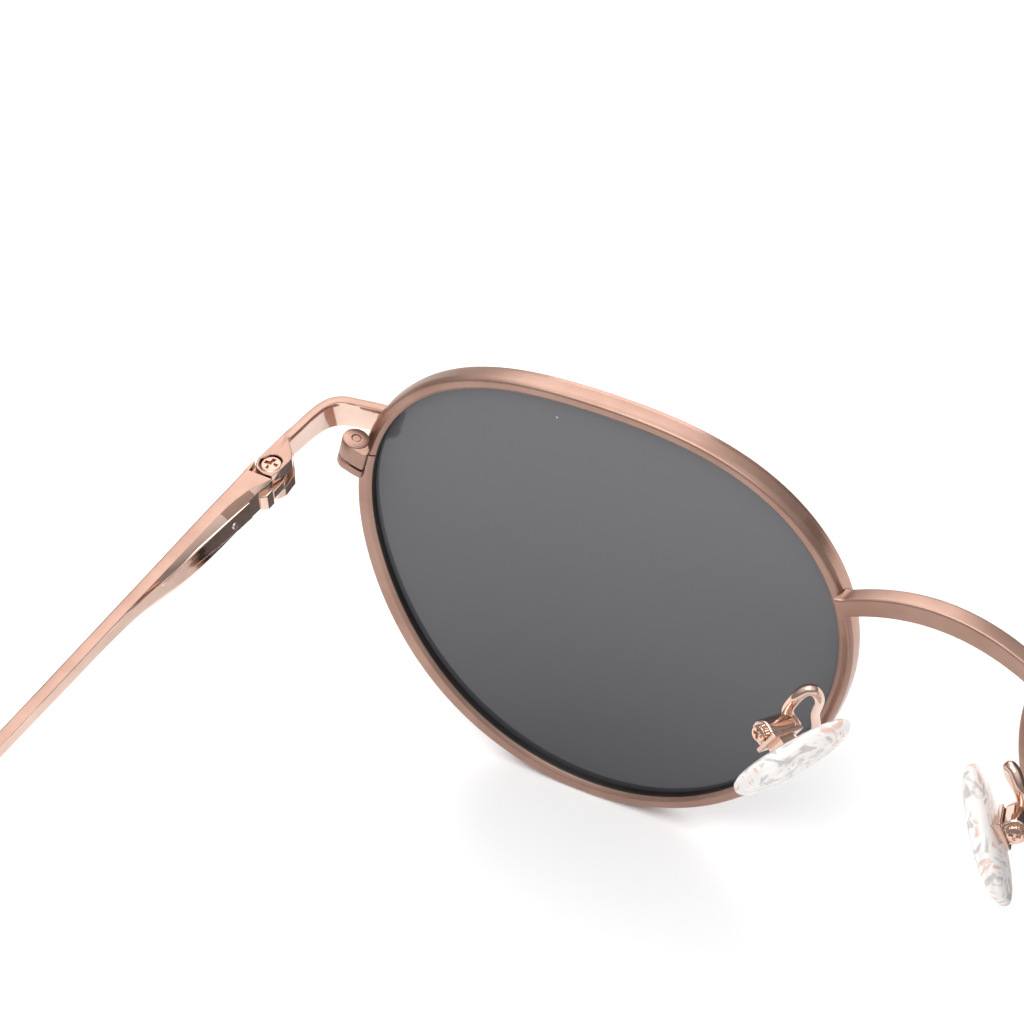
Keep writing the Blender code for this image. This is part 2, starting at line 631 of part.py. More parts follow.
def temple_centre(distance):
    """Wire centre (back, z) at a distance along the temple: straight, bend, straight."""
    z = HINGE_TOP - WIRE_TALL / 2
    if distance <= BEND_START:
        return distance, z, 0.0
    arc = BEND_RADIUS * BEND_ANGLE
    if distance <= BEND_START + arc:
        angle = (distance - BEND_START) / BEND_RADIUS
        return (BEND_START + BEND_RADIUS * math.sin(angle),
                z - BEND_RADIUS * (1 - math.cos(angle)), angle)
    more = distance - BEND_START - arc
    return (BEND_START + BEND_RADIUS * math.sin(BEND_ANGLE) + more * math.cos(BEND_ANGLE),
            z - BEND_RADIUS * (1 - math.cos(BEND_ANGLE)) - more * math.sin(BEND_ANGLE), BEND_ANGLE)


def tip_ring(side, distance, end):
    """Oval ring of the sleeve: it swells along its run and closes in a rounded end."""
    share = (distance - TIP_START) / (end - TIP_START)
    grow = min(1.0, max(0.0, share) / 0.85) ** 1.5
    round_off = max(0.0, share - 0.9) / 0.1
    nose = 0.28 + 0.72 * math.sqrt(max(0.0, 1 - round_off ** 2))
    thick = (TIP_MOUTH - 0.3 * MM + (TIP_THICK - TIP_MOUTH + 0.3 * MM) * grow) * nose
    tall = (TIP_MOUTH + (TIP_TALL - TIP_MOUTH) * grow) * nose
    return oval(side, distance, thick, tall)


def oval(side, distance, thick, tall):
    """Squared oval ring about the temple's centre line."""
    back, z, turn = temple_centre(distance)
    angle = np.linspace(0, 2 * np.pi, TIP_SIDES, endpoint=False)
    centre = TEMPLE_OUT - WIRE_THICK / 2
    t = centre + 0.5 * thick * np.sign(np.cos(angle)) * np.abs(np.cos(angle)) ** 0.7
    h = 0.5 * tall * np.sign(np.sin(angle)) * np.abs(np.sin(angle)) ** 0.8
    return [temple_point(side, a, back + b * math.sin(turn), z + b * math.cos(turn))
            for a, b in zip(t, h)]


def tip_stations(end):
    """Distances of the sleeve's rings, closer together at both ends."""
    share = [0.0, 0.04, 0.12, 0.2, 0.28, 0.36, 0.44, 0.52, 0.6, 0.68, 0.76, 0.84, 0.9, 0.95, 0.98, 1.0]
    return [TIP_START + s * (end - TIP_START) for s in share]


def tip_length():
    """Distance along the temple at which the sleeve's rounded end rests on Z = 0."""
    low, high = BEND_START + BEND_RADIUS * BEND_ANGLE, 3 * BEND_START
    for _ in range(40):
        end = (low + high) / 2
        lowest = min(p[2] for d in tip_stations(end) for p in tip_ring(1, d, end))
        low, high = (end, high) if lowest > 0 else (low, end)
    return low


def box_ring(side, distance, inner, outer, up, down, edge):
    """Chamfered ring across the temple: from inner to outer, up above and down below its centre."""
    back, z, angle = temple_centre(distance)
    corners = [(inner + edge, up), (outer - edge, up), (outer, up - edge), (outer, edge - down),
               (outer - edge, -down), (inner + edge, -down), (inner, edge - down), (inner, up - edge)]
    return [temple_point(side, t, back + h * math.sin(angle), z + h * math.cos(angle))
            for t, h in corners]


def make_temple(word, side):
    """Temple: a deep front that holds the spring housing, drawn down to a wire for the sleeve."""
    half = WIRE_TALL / 2
    wire_in = TEMPLE_OUT - WIRE_THICK
    deep_in = HOUSING_IN + 0.1 * MM
    full = HINGE_TALL - half
    stations = [(TEMPLE_FACE, deep_in - 0.45 * MM, full), (SLIDER_END, deep_in - 0.3 * MM, full),
                (HOUSING_START, deep_in, full), (6.6 * MM, deep_in, full - 0.06 * MM),
                (9.0 * MM, deep_in, full - 0.38 * MM), (12.0 * MM, deep_in, full - 0.78 * MM),
                (14.5 * MM, deep_in + 0.04 * MM, full - 1.12 * MM),
                (17.4 * MM, deep_in + 0.22 * MM, full - 1.5 * MM),
                (20.0 * MM, wire_in - 0.28 * MM, half + 0.3 * MM),
                (24.0 * MM, wire_in - 0.05 * MM, half + 0.08 * MM), (30.0 * MM, wire_in, half)]
    end = tip_length() - TIP_RUN_UP
    slim = 0.8
    for distance in np.linspace(40 * MM, TIP_START, 6):
        stations.append((distance, wire_in, half))
    edge = 0.22 * MM
    rings = [box_ring(side, s, inner, TEMPLE_OUT, half, down, edge) for s, inner, down in stations]
    for distance in np.linspace(TIP_START + 2 * MM, end, 22):
        rings.append(box_ring(side, distance, wire_in + 0.1 * MM, TEMPLE_OUT - 0.1 * MM,
                              slim * half, slim * half, edge))
    temple = loft("temple_" + word, rings, POLISHED)
    place = lambda s, z, t: temple_point(side, t, s, z)
    wall = TEMPLE_OUT - WALL
    cut(temple, prism("pocket", housing_outline(GAP), -3 * MM, wall, place, POLISHED))
    front = [(0.0, HINGE_TOP - 0.55 * MM), (HOUSING_START + 0.3 * MM, HINGE_TOP - 0.55 * MM),
             (HOUSING_START + 0.3 * MM, HINGE_TOP - 2.86 * MM), (0.0, HINGE_TOP - 2.86 * MM)]
    cut(temple, prism("mouth", front, -3 * MM, wall, place, POLISHED))


def make_tip(word, side):
    """Sleeve over the temple's wire: a bored, flattened paddle with a rounded end."""
    end = tip_length()
    blind = end - TIP_RUN_UP + 0.3 * MM
    bore = 4 * TIP_SPACE
    rings = [oval(side, d, WIRE_THICK + bore, WIRE_TALL + bore)
             for d in np.linspace(blind, TIP_START, 16)]
    rings += [tip_ring(side, d, end) for d in tip_stations(end)]
    loft("temple_tip_" + word, rings, TIP)


# ---- nose pads -----------------------------------------------------------------------------
def pad_frame(side):
    """Screw head's seat, and the box's long, wide and face directions, on one side."""
    seat = Vector((side * PAD_SCREW_AT[0], FRONT_Y + PAD_SCREW_AT[1],
                   LENS_CENTRE_Z + PAD_SCREW_AT[2]))
    face = (PAD_FACE_WAY - PAD_AXIS * PAD_FACE_WAY.dot(PAD_AXIS)).normalized()
    long = face.cross(PAD_AXIS)
    mirror = Vector((side, 1, 1))
    return seat, long * mirror, PAD_AXIS * mirror, face * mirror


def box_centre(side):
    seat, long, wide, face = pad_frame(side)
    return seat + wide * (BOX_SEAT + BOX_WIDE / 2)


def make_nose_pad(word, side):
    seat, long, wide, face = pad_frame(side)
    centre = box_centre(side)

    def place(a, b, c):
        return centre + long * a + wide * b + face * c

    hl, hw = BOX_LONG / 2, BOX_WIDE / 2
    rear = -BOX_DEEP - BOX_WALL / 2
    soft = 0.8 * MM
    shape = [(-hl, BOX_DEEP), (hl, BOX_DEEP)]
    shape += [(hl - soft + soft * math.cos(a), rear + soft - soft * math.sin(a))
              for a in np.linspace(0, math.pi / 2, 5)]
    shape += [(-hl + soft - soft * math.sin(a), rear + soft - soft * math.cos(a))
              for a in np.linspace(0, math.pi / 2, 5)]
    box = prism("pad_box_" + word, shape, -hw, hw, lambda a, c, b: place(a, b, c), POLISHED)
    il, iw = hl - BOX_WALL / 2, hw - BOX_WALL
    cut(box, prism("hollow", [(-il, -iw), (il, -iw), (il, iw), (-il, iw)],
                   rear + BOX_WALL, BOX_DEEP + MM, place, POLISHED))
    hole = PAD_SCREW_RADIUS + RUN
    cut(box, turned("bore", place(0, -4 * MM, 0), wide, [(0, hole), (8 * MM, hole)], POLISHED, 12))
    lug_half = iw - LUG_SIDE_GAP
    top = PAD_BACK - GAP - FOOT_THICK
    lug_plan = [(LUG_ROUND * math.cos(a), LUG_ROUND * math.sin(a))
                for a in np.linspace(math.pi, 2 * math.pi, 9)]
    lug_plan += [(LUG_ROUND, top + 0.1 * MM), (-LUG_ROUND, top + 0.1 * MM)]
    lug = prism("pad_lug_" + word, lug_plan, -lug_half, lug_half, lambda a, c, b: place(a, b, c), STEEL)
    foot_long, foot_wide = 1.2 * MM, 1.4 * MM
    foot = prism("foot", [(-foot_long, -foot_wide), (foot_long, -foot_wide), (foot_long, foot_wide),
                          (-foot_long, foot_wide)], top, top + FOOT_THICK, place, STEEL)
    cut(lug, foot, "UNION")
    cut(lug, turned("bore", place(0, -4 * MM, 0), wide, [(0, hole), (8 * MM, hole)], STEEL, 12))
    under = -hw - 0.05 * MM
    turned("pad_screw_" + word, place(0, 0, 0), wide,
           [(under - PAD_SCREW_HEAD_TALL, 0.8 * PAD_SCREW_HEAD),
            (under - 0.6 * PAD_SCREW_HEAD_TALL, PAD_SCREW_HEAD), (under, PAD_SCREW_HEAD),
            (under + 0.001 * MM, PAD_SCREW_RADIUS), (hw, PAD_SCREW_RADIUS)], POLISHED, 14)
    mirror = Vector((side, 1, 1))
    along = PAD_LONG_WAY * mirror
    along = (along - face * along.dot(face)).normalized()
    across = along.cross(face)
    middle = place(-PAD_BELOW, PAD_ASIDE, PAD_BACK)
    steps = 28
    angle = np.linspace(0, 2 * np.pi, steps, endpoint=False)
    rings = []
    for share, depth in ((0.9, 0.0), (0.98, 0.16), (1.0, 0.42), (0.96, 0.68), (0.84, 0.88), (0.62, 1.0)):
        taper = 1 - 0.16 * np.cos(angle)
        a = share * PAD_HALF_LONG * np.cos(angle)
        b = share * PAD_HALF_WIDE * np.sin(angle) * taper
        rings.append([middle + along * p + across * q + face * depth * PAD_THICK
                      for p, q in zip(a, b)])
    loft("nose_pad_" + word, rings, CLEAR_PAD)


def make_pad_arm(word, side):
    """Bent wire: up from the back of the rim, over in a loop, and down the far end of the pad box."""
    seat, long, wide, face = pad_frame(side)
    end = box_centre(side) + wide * (BOX_WIDE / 2 + ARM_RADIUS + ARM_CLEAR)
    landing = [end + long * 1.3 * MM - face * 1.0 * MM, end + long * 0.3 * MM + face * 0.5 * MM]
    loop = [Vector((side * x, FRONT_Y + back, LENS_CENTRE_Z + up)) for x, back, up in ARM_LOOP]
    path = smooth_path(loop + landing, 26)
    loft("pad_arm_" + word, tube_rings(path, ARM_RADIUS, 10), POLISHED)


# ---- build ---------------------------------------------------------------------------------
make_bridge()
for word, side in SIDES:
    make_rim(word, side)
    make_lens(word, side)
    make_closing_block(word, side)
    make_end_piece(word, side)
    make_front_hinge(word, side)
    make_hinge_screw(word, side)
    make_slider(word, side)
    make_housing(word, side)
    make_spring(word, side)
    make_temple(word, side)
    make_tip(word, side)
    make_nose_pad(word, side)
    make_pad_arm(word, side)

for word, side in SIDES:
    fold = joint_empty("fold_axis_" + word, hinge_point(side, 0, 0, HINGE_TOP))
    for name in ("slider_", "slider_spring_", "spring_stop_", "stop_pin_", "spring_housing_",
                 "temple_", "temple_tip_"):
        hang_on(bpy.data.objects[name + word], fold)
    rock = joint_empty("rock_axis_" + word, box_centre(side))
    for name in ("pad_lug_", "nose_pad_"):
        hang_on(bpy.data.objects[name + word], rock)
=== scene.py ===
import math

import bpy
import numpy as np
from mathutils import Matrix, Vector


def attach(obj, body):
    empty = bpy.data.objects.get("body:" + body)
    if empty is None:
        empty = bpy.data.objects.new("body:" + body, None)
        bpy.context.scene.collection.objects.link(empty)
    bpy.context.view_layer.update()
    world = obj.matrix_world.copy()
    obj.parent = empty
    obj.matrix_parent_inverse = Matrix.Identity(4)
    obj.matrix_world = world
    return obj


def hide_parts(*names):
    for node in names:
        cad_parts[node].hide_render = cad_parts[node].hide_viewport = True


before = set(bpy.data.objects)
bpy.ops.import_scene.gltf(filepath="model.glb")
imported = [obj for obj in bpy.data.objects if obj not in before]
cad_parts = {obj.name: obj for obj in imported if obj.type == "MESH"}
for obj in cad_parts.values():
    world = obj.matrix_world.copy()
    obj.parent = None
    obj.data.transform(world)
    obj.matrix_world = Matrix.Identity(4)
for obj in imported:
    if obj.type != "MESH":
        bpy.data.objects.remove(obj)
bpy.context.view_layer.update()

# ---- sizes of the glasses, in metres ------------------------------------------------------------
MM = 0.001
PANTO, WRAP = 0.1327, 0.0294
FRONT_Y = -67.0166 * MM
LENS_Z = 25.7619 * MM
LENS_X = 34.6819 * MM
HINGE_X = 64.04 * MM
HINGE_Y = FRONT_Y + 10.3 * MM
TOP = LENS_Z + 13.55 * MM
SPLAY, RISE, BOW, BOW_START = 0.068, 0.016, 0.0006 / MM, 20 * MM
SIDES = (("left", 1), ("right", -1))
TURN = 2 * math.pi


# ---- places on the glasses ------------------------------------------------------------------------
def lens_edge(a):
    """Edge of a lens about its centre at angles a, and its outward normals: an oval with a flat brow."""
    def at(t):
        swell = (1 + 0.0146 * np.cos(2 * t) - 0.0125 * np.sin(2 * t) - 0.0068 * np.cos(3 * t)
                 + 0.0466 * np.sin(3 * t) - 0.0115 * np.cos(4 * t))
        return np.stack([0.4934 * 49.3 * MM * np.cos(t) * swell,
                         0.5132 * 47.1 * MM * np.sin(t) * swell], axis=-1)
    way = at(a + 1e-4) - at(a - 1e-4)
    way /= np.linalg.norm(way, axis=-1)[..., None]
    return at(a), np.stack([way[..., 1], -way[..., 0]], axis=-1)


def on_front(side, x, y, v):
    """Point of the front: x outboard of the middle, y behind the datum, v above the lens centre."""
    x, y, v = np.broadcast_arrays(*(np.asarray(n, float) for n in (x, y, v)))
    back = y + math.sin(WRAP) * np.abs(x)
    return np.stack([side * x, FRONT_Y + back * math.cos(PANTO) - v * math.sin(PANTO),
                     LENS_Z + v * math.cos(PANTO) + back * math.sin(PANTO)], axis=-1)


def by_hinge(side, out, back, z):
    """Point near a hinge: outboard of its screw, behind it, and at a height z."""
    out, back, z = np.broadcast_arrays(*(np.asarray(n, float) for n in (out, back, z)))
    return np.stack([side * (HINGE_X + out), HINGE_Y + back, z], axis=-1)


def on_temple(side, out, back, z):
    """Point of a temple, which splays, bows in behind its first stretch, and rises."""
    out, back, z = np.broadcast_arrays(*(np.asarray(n, float) for n in (out, back, z)))
    bow = np.maximum(0, back - BOW_START)
    return by_hinge(side, out + SPLAY * back - BOW * bow ** 2, back, z + RISE * back)


def curve(at, where, values):
    """Smooth line through values, read at new places: cubic pieces whose slopes are the mean slopes."""
    x, y = np.asarray(where, float), np.asarray(values, float)
    flat = y.ndim == 1
    y = y[:, None] if flat else y
    step = np.diff(x)[:, None]
    slope = np.diff(y, axis=0) / step
    m = np.concatenate([slope[:1], (slope[1:] * step[:-1] + slope[:-1] * step[1:])
                        / (step[1:] + step[:-1]), slope[-1:]])
    i = np.clip(np.searchsorted(x, at) - 1, 0, len(x) - 2)
    h = step[i]
    t = ((np.asarray(at, float) - x[i])[:, None]) / h
    out = ((2 * t ** 3 - 3 * t ** 2 + 1) * y[i] + (t ** 3 - 2 * t ** 2 + t) * h * m[i]
           + (3 * t ** 2 - 2 * t ** 3) * y[i + 1] + (t ** 3 - t ** 2) * h * m[i + 1])
    return out[:, 0] if flat else out


def soft(points, radii, steps=5):
    """Closed outline with its corners rounded: each corner becomes an arc of its radius."""
    p = np.asarray(points, float)
    r = np.broadcast_to(np.asarray(radii, float), len(p))
    a, b = np.roll(p, 1, axis=0) - p, np.roll(p, -1, axis=0) - p
    la, lb = np.linalg.norm(a, axis=1), np.linalg.norm(b, axis=1)
    a, b = a / la[:, None], b / lb[:, None]
    half = np.arccos(np.clip((a * b).sum(1), -1, 1)) / 2
    cutoff = np.minimum(r / np.tan(half), 0.49 * np.minimum(la, lb))
    t = np.linspace(0, 1, steps)[:, None, None]
    arc = p + (1 - t) ** 2 * a * cutoff[:, None] + t ** 2 * b * cutoff[:, None]
    return arc.transpose(1, 0, 2).reshape(-1, p.shape[1])


def outward(outline):
    """Unit normals of a closed anticlockwise outline, pointing out of it."""
    way = np.roll(outline, -1, axis=0) - np.roll(outline, 1, axis=0)
    way /= np.maximum(np.linalg.norm(way, axis=1), 1e-12)[:, None]
    return np.stack([way[:, 1], -way[:, 0]], axis=1)


# ---- meshes ----------------------------------------------------------------------------------------
def shell(grid, ring=True, loop=False, caps=True):
    """Grid of points (stations, round, 3) as vertices and faces; round closes if ring, stations if loop."""
    n, m = grid.shape[:2]
    i = np.arange(n if loop else n - 1)[:, None]
    j = np.arange(m if ring else m - 1)[None, :]
    a, b = i * m + j, i * m + (j + 1) % m
    c, d = (i + 1) % n * m + (j + 1) % m, (i + 1) % n * m + j
    faces = np.stack([a, b, c, d], axis=-1).reshape(-1, 4).tolist()
    verts = grid.reshape(-1, 3)
    if caps and ring and not loop:
        verts = np.vstack([verts, grid[0].mean(0), grid[-1].mean(0)])
        k = np.arange(m)
        first, last = n * m, n * m + 1
        faces += np.stack([(k + 1) % m, k, np.full(m, first)], axis=1).tolist()
        faces += np.stack([(n - 1) * m + k, (n - 1) * m + (k + 1) % m, np.full(m, last)], axis=1).tolist()
    return verts, faces


def piece(name, shells, finish, body, stands_for, sharp=38, second=None, where=None):
    """One piece from closed shells, facing outwards, shaded smooth below the sharp angle in degrees.

    Faces that where(normals, centres) picks take the second finish.
    """
    verts, faces, start = [], [], 0
    for v, f in shells:
        volume = 0.0
        for size in (3, 4):
            block = np.array([q for q in f if len(q) == size], int).reshape(-1, size)
            for k in range(1, size - 1):
                t = v[block[:, [0, k, k + 1]]]
                volume += float(np.einsum("ij,ij->i", t[:, 0], np.cross(t[:, 1], t[:, 2])).sum())
        f = f if volume > 0 else [q[::-1] for q in f]
        verts.append(v)
        faces += [[k + start for k in q] for q in f]
        start += len(v)
    mesh = bpy.data.meshes.new(name)
    mesh.from_pydata(np.vstack(verts).tolist(), [], faces)
    mesh.materials.append(finish)
    mesh.shade_smooth()
    mesh.set_sharp_from_angle(angle=math.radians(sharp))
    if second:
        normals, centres = (np.zeros(3 * len(mesh.polygons)) for _ in range(2))
        mesh.polygons.foreach_get("normal", normals)
        mesh.polygons.foreach_get("center", centres)
        mesh.materials.append(second)
        chosen = where(normals.reshape(-1, 3), centres.reshape(-1, 3))
        mesh.polygons.foreach_set("material_index", chosen.astype(np.int32))
    obj = bpy.data.objects.new(name, mesh)
    bpy.context.scene.collection.objects.link(obj)
    obj.modifiers.new("flat faces stay flat", "WEIGHTED_NORMAL").keep_sharp = True
    if stands_for:
        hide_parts(*stands_for)
    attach(obj, body)
    return obj


def slab(outline, low, high, edge, place, steps=4):
    """Flat plate with rounded rims: the outline shrinks by the edge radius as it nears each face."""
    normal = outward(outline)
    q = np.linspace(0, math.pi / 2, steps)
    inset = np.concatenate([edge * (1 - np.sin(q)), edge * (1 - np.cos(q))])
    level = np.concatenate([low + edge * (1 - np.cos(q)), high - edge * (1 - np.sin(q))])
    inset = np.concatenate([[edge * 1.3], inset, [edge * 1.3]])
    level = np.concatenate([[low], level, [high]])
    rings = [place(*(outline - s * normal).T, z) for s, z in zip(inset, level)]
    return shell(np.stack(rings))


def turned(base, way, profile, sides=64):
    """Turned solid: profile pairs (along, radius) carried round an axis."""
    way = np.asarray(way, float) / np.linalg.norm(way)
    side = np.cross(way, [0, 0, 1] if abs(way[2]) < 0.9 else [1, 0, 0])
    side /= np.linalg.norm(side)
    up = np.cross(way, side)
    p = np.asarray(profile, float)
    a = np.linspace(0, TURN, sides, endpoint=False)
    ring = np.cos(a)[:, None] * side + np.sin(a)[:, None] * up
    return shell(np.asarray(base, float) + p[:, :1, None] * way + p[:, 1:, None] * ring)


def wire(path, radius, sides=28):
    """Round wire along a path, with frames that turn as little as they can, and domed ends."""
    path = np.asarray(path, float)
    way = np.gradient(path, axis=0)
    way /= np.linalg.norm(way, axis=1)[:, None]
    side = np.cross(way[0], [0, 0, 1.0])
    sides_way = []
    for w in way:
        side = side - w * side.dot(w)
        side /= np.linalg.norm(side)
        sides_way.append(side)
    side = np.array(sides_way)
    up = np.cross(way, side)
    radius = np.broadcast_to(np.asarray(radius, float), len(path))
    a = np.linspace(0, TURN, sides, endpoint=False)
    rings = path[:, None] + radius[:, None, None] * (np.cos(a)[None, :, None] * side[:, None]
                                                     + np.sin(a)[None, :, None] * up[:, None])
    q = np.linspace(0.08, 1, 6)[:, None, None]
    grow, depth = np.sin(q * math.pi / 2), np.cos(q * math.pi / 2)
    start = path[0] + (rings[0] - path[0]) * grow - way[0] * radius[0] * 0.6 * depth
    end = path[-1] + (rings[-1] - path[-1]) * grow[::-1] + way[-1] * radius[-1] * 0.6 * depth[::-1]
    return shell(np.concatenate([start[:-1], rings, end[1:]]))


# ---- finishes ----------------------------------------------------------------------------------------
def tint(red, green, blue):
    """Linear colour from screen values of 0 to 255."""
    c = np.array([red, green, blue]) / 255
    return (*np.where(c < 0.04045, c / 12.92, ((c + 0.055) / 1.055) ** 2.4).tolist(), 1.0)


def put(tree, kind, **values):
    """New node with its properties and its unlinked inputs set."""
    node = tree.nodes.new(kind)
    for key, value in values.items():
        if key in node.inputs:
            node.inputs[key].default_value = value
        else:
            setattr(node, key, value)
    return node


def new_group(name, inputs, outputs):
    """Empty shader group with named inputs (name, kind, value) and outputs (name, kind)."""
    tree = bpy.data.node_groups.new(name, "ShaderNodeTree")
    for label, kind, value in inputs:
        socket = tree.interface.new_socket(name=label, in_out="INPUT", socket_type="NodeSocket" + kind)
        if value is not None:
            socket.default_value = value
    for label, kind in outputs:
        tree.interface.new_socket(name=label, in_out="OUTPUT", socket_type="NodeSocket" + kind)
    return tree, tree.nodes.new("NodeGroupInput"), tree.nodes.new("NodeGroupOutput")


def plating_group():
    """Plated surface: fine grain, cloudy handling marks, and a normal with the grain's relief."""
    tree, come, go = new_group("plating", [("Place", "Vector", None), ("Grain per metre", "Float", 9000.0),
                                           ("Relief", "Float", 0.1), ("Cloud per metre", "Float", 160.0)],
                               [("Grain", "Float"), ("Cloud", "Float"), ("Normal", "Vector")])
    link = tree.links.new
    grain = put(tree, "ShaderNodeTexNoise", Detail=3.0, Roughness=0.6)
    cloud = put(tree, "ShaderNodeTexNoise", Detail=4.0, Roughness=0.55)
    bump = put(tree, "ShaderNodeBump", Distance=0.00003)
    link(come.outputs["Place"], grain.inputs["Vector"])
    link(come.outputs["Place"], cloud.inputs["Vector"])
    link(come.outputs["Grain per metre"], grain.inputs["Scale"])
    link(come.outputs["Cloud per metre"], cloud.inputs["Scale"])
    link(come.outputs["Relief"], bump.inputs["Strength"])
    link(grain.outputs["Fac"], bump.inputs["Height"])
    link(grain.outputs["Fac"], go.inputs["Grain"])
    link(cloud.outputs["Fac"], go.inputs["Cloud"])
    link(bump.outputs["Normal"], go.inputs["Normal"])
    return tree


def specks_group():
    """Dust: scattered round specks where a cell's middle is near and its random number is high."""
    tree, come, go = new_group("specks", [("Place", "Vector", None), ("Cells per metre", "Float", 250.0),
                                          ("Reach", "Float", 0.1), ("Share", "Float", 0.05)],
                               [("Mask", "Float")])
    link = tree.links.new
    cell = put(tree, "ShaderNodeTexVoronoi")
    near = put(tree, "ShaderNodeMath", operation="LESS_THAN")
    pick = put(tree, "ShaderNodeSeparateColor")
    rare = put(tree, "ShaderNodeMath", operation="LESS_THAN")
    both = put(tree, "ShaderNodeMath", operation="MULTIPLY")
    link(come.outputs["Place"], cell.inputs["Vector"])
    link(come.outputs["Cells per metre"], cell.inputs["Scale"])
    link(cell.outputs["Distance"], near.inputs[0])
    link(come.outputs["Reach"], near.inputs[1])
    link(cell.outputs["Color"], pick.inputs["Color"])
    link(pick.outputs["Red"], rare.inputs[0])
    link(come.outputs["Share"], rare.inputs[1])
    link(near.outputs[0], both.inputs[0])
    link(rare.outputs[0], both.inputs[1])
    link(both.outputs[0], go.inputs["Mask"])
    return tree


PLATING, SPECKS = plating_group(), specks_group()


def start_finish(name, **constants):
    """Material with its shader and an Object-coordinate source; constants go on the shader's sockets."""
    mat = bpy.data.materials.new(name)
    mat.use_nodes = True
    tree = mat.node_tree
    shader = next(n for n in tree.nodes if n.type == "BSDF_PRINCIPLED")
    for key, value in constants.items():
        shader.inputs[key].default_value = value
    place = put(tree, "ShaderNodeTexCoord").outputs["Object"]
    return mat, tree, shader, place


def plated(name, light, dark, rough, rough_dark, relief, grain=9000.0, metallic=1.0):
    """Plated metal: colour and roughness drift between two values with the plating's clouds and grain."""
    mat, tree, shader, place = start_finish(name, Metallic=metallic)
    link = tree.links.new
    group = put(tree, "ShaderNodeGroup", node_tree=PLATING)
    group.inputs["Grain per metre"].default_value = grain
    group.inputs["Relief"].default_value = relief
    link(place, group.inputs["Place"])
    colour = put(tree, "ShaderNodeMix", data_type="RGBA")
    colour.inputs[6].default_value = dark
    colour.inputs[7].default_value = light
    spread = put(tree, "ShaderNodeMapRange")
    for key, value in (("From Min", 0.35), ("From Max", 0.62)):
        spread.inputs[key].default_value = value
    link(group.outputs["Cloud"], spread.inputs["Value"])
    link(spread.outputs["Result"], colour.inputs["Factor"])
    link(colour.outputs[2], shader.inputs["Base Color"])
    rub = put(tree, "ShaderNodeMapRange")
    for key, value in (("From Min", 0.3), ("From Max", 0.7), ("To Min", rough), ("To Max", rough_dark)):
        rub.inputs[key].default_value = value
    link(group.outputs["Grain"], rub.inputs["Value"])
    link(rub.outputs["Result"], shader.inputs["Roughness"])
    link(group.outputs["Normal"], shader.inputs["Normal"])
    return mat


def lens_finish():
    """Dark grey tint with a glossy face, a painted reflection that lightens it from the bottom towards the top,
    and a little dust.
    """
    mat, tree, shader, place = start_finish("grey_lens", IOR=1.5)
    link = tree.links.new
    cloud = put(tree, "ShaderNodeTexNoise", Scale=60.0, Detail=2.0)
    link(place, cloud.inputs["Vector"])
    # painted reflection: the tint runs from darker at the lens's bottom to lighter at its top, standing in for
    # the brighter surroundings reflected above
    tone = put(tree, "ShaderNodeMix", data_type="RGBA")
    tone.inputs[6].default_value = tint(64, 63, 67)
    tone.inputs[7].default_value = tint(103, 103, 107)
    height = put(tree, "ShaderNodeSeparateXYZ")
    rise = put(tree, "ShaderNodeMapRange", **{"From Min": 0.002, "From Max": 0.046})
    link(place, height.inputs["Vector"])
    link(height.outputs["Z"], rise.inputs["Value"])
    link(rise.outputs["Result"], tone.inputs["Factor"])
    dust = put(tree, "ShaderNodeGroup", node_tree=SPECKS)
    dust.inputs["Cells per metre"].default_value = 230.0
    dust.inputs["Reach"].default_value = 0.035
    dust.inputs["Share"].default_value = 0.10
    link(place, dust.inputs["Place"])
    dusty = put(tree, "ShaderNodeMix", data_type="RGBA")
    dusty.inputs[7].default_value = tint(190, 190, 190)
    link(tone.outputs[2], dusty.inputs[6])
    link(dust.outputs["Mask"], dusty.inputs["Factor"])
    link(dusty.outputs[2], shader.inputs["Base Color"])
    rub = put(tree, "ShaderNodeMapRange")
    for key, value in (("From Min", 0.3), ("From Max", 0.7), ("To Min", 0.04), ("To Max", 0.09)):
        rub.inputs[key].default_value = value
    link(cloud.outputs["Fac"], rub.inputs["Value"])
    link(rub.outputs["Result"], shader.inputs["Roughness"])
    return mat


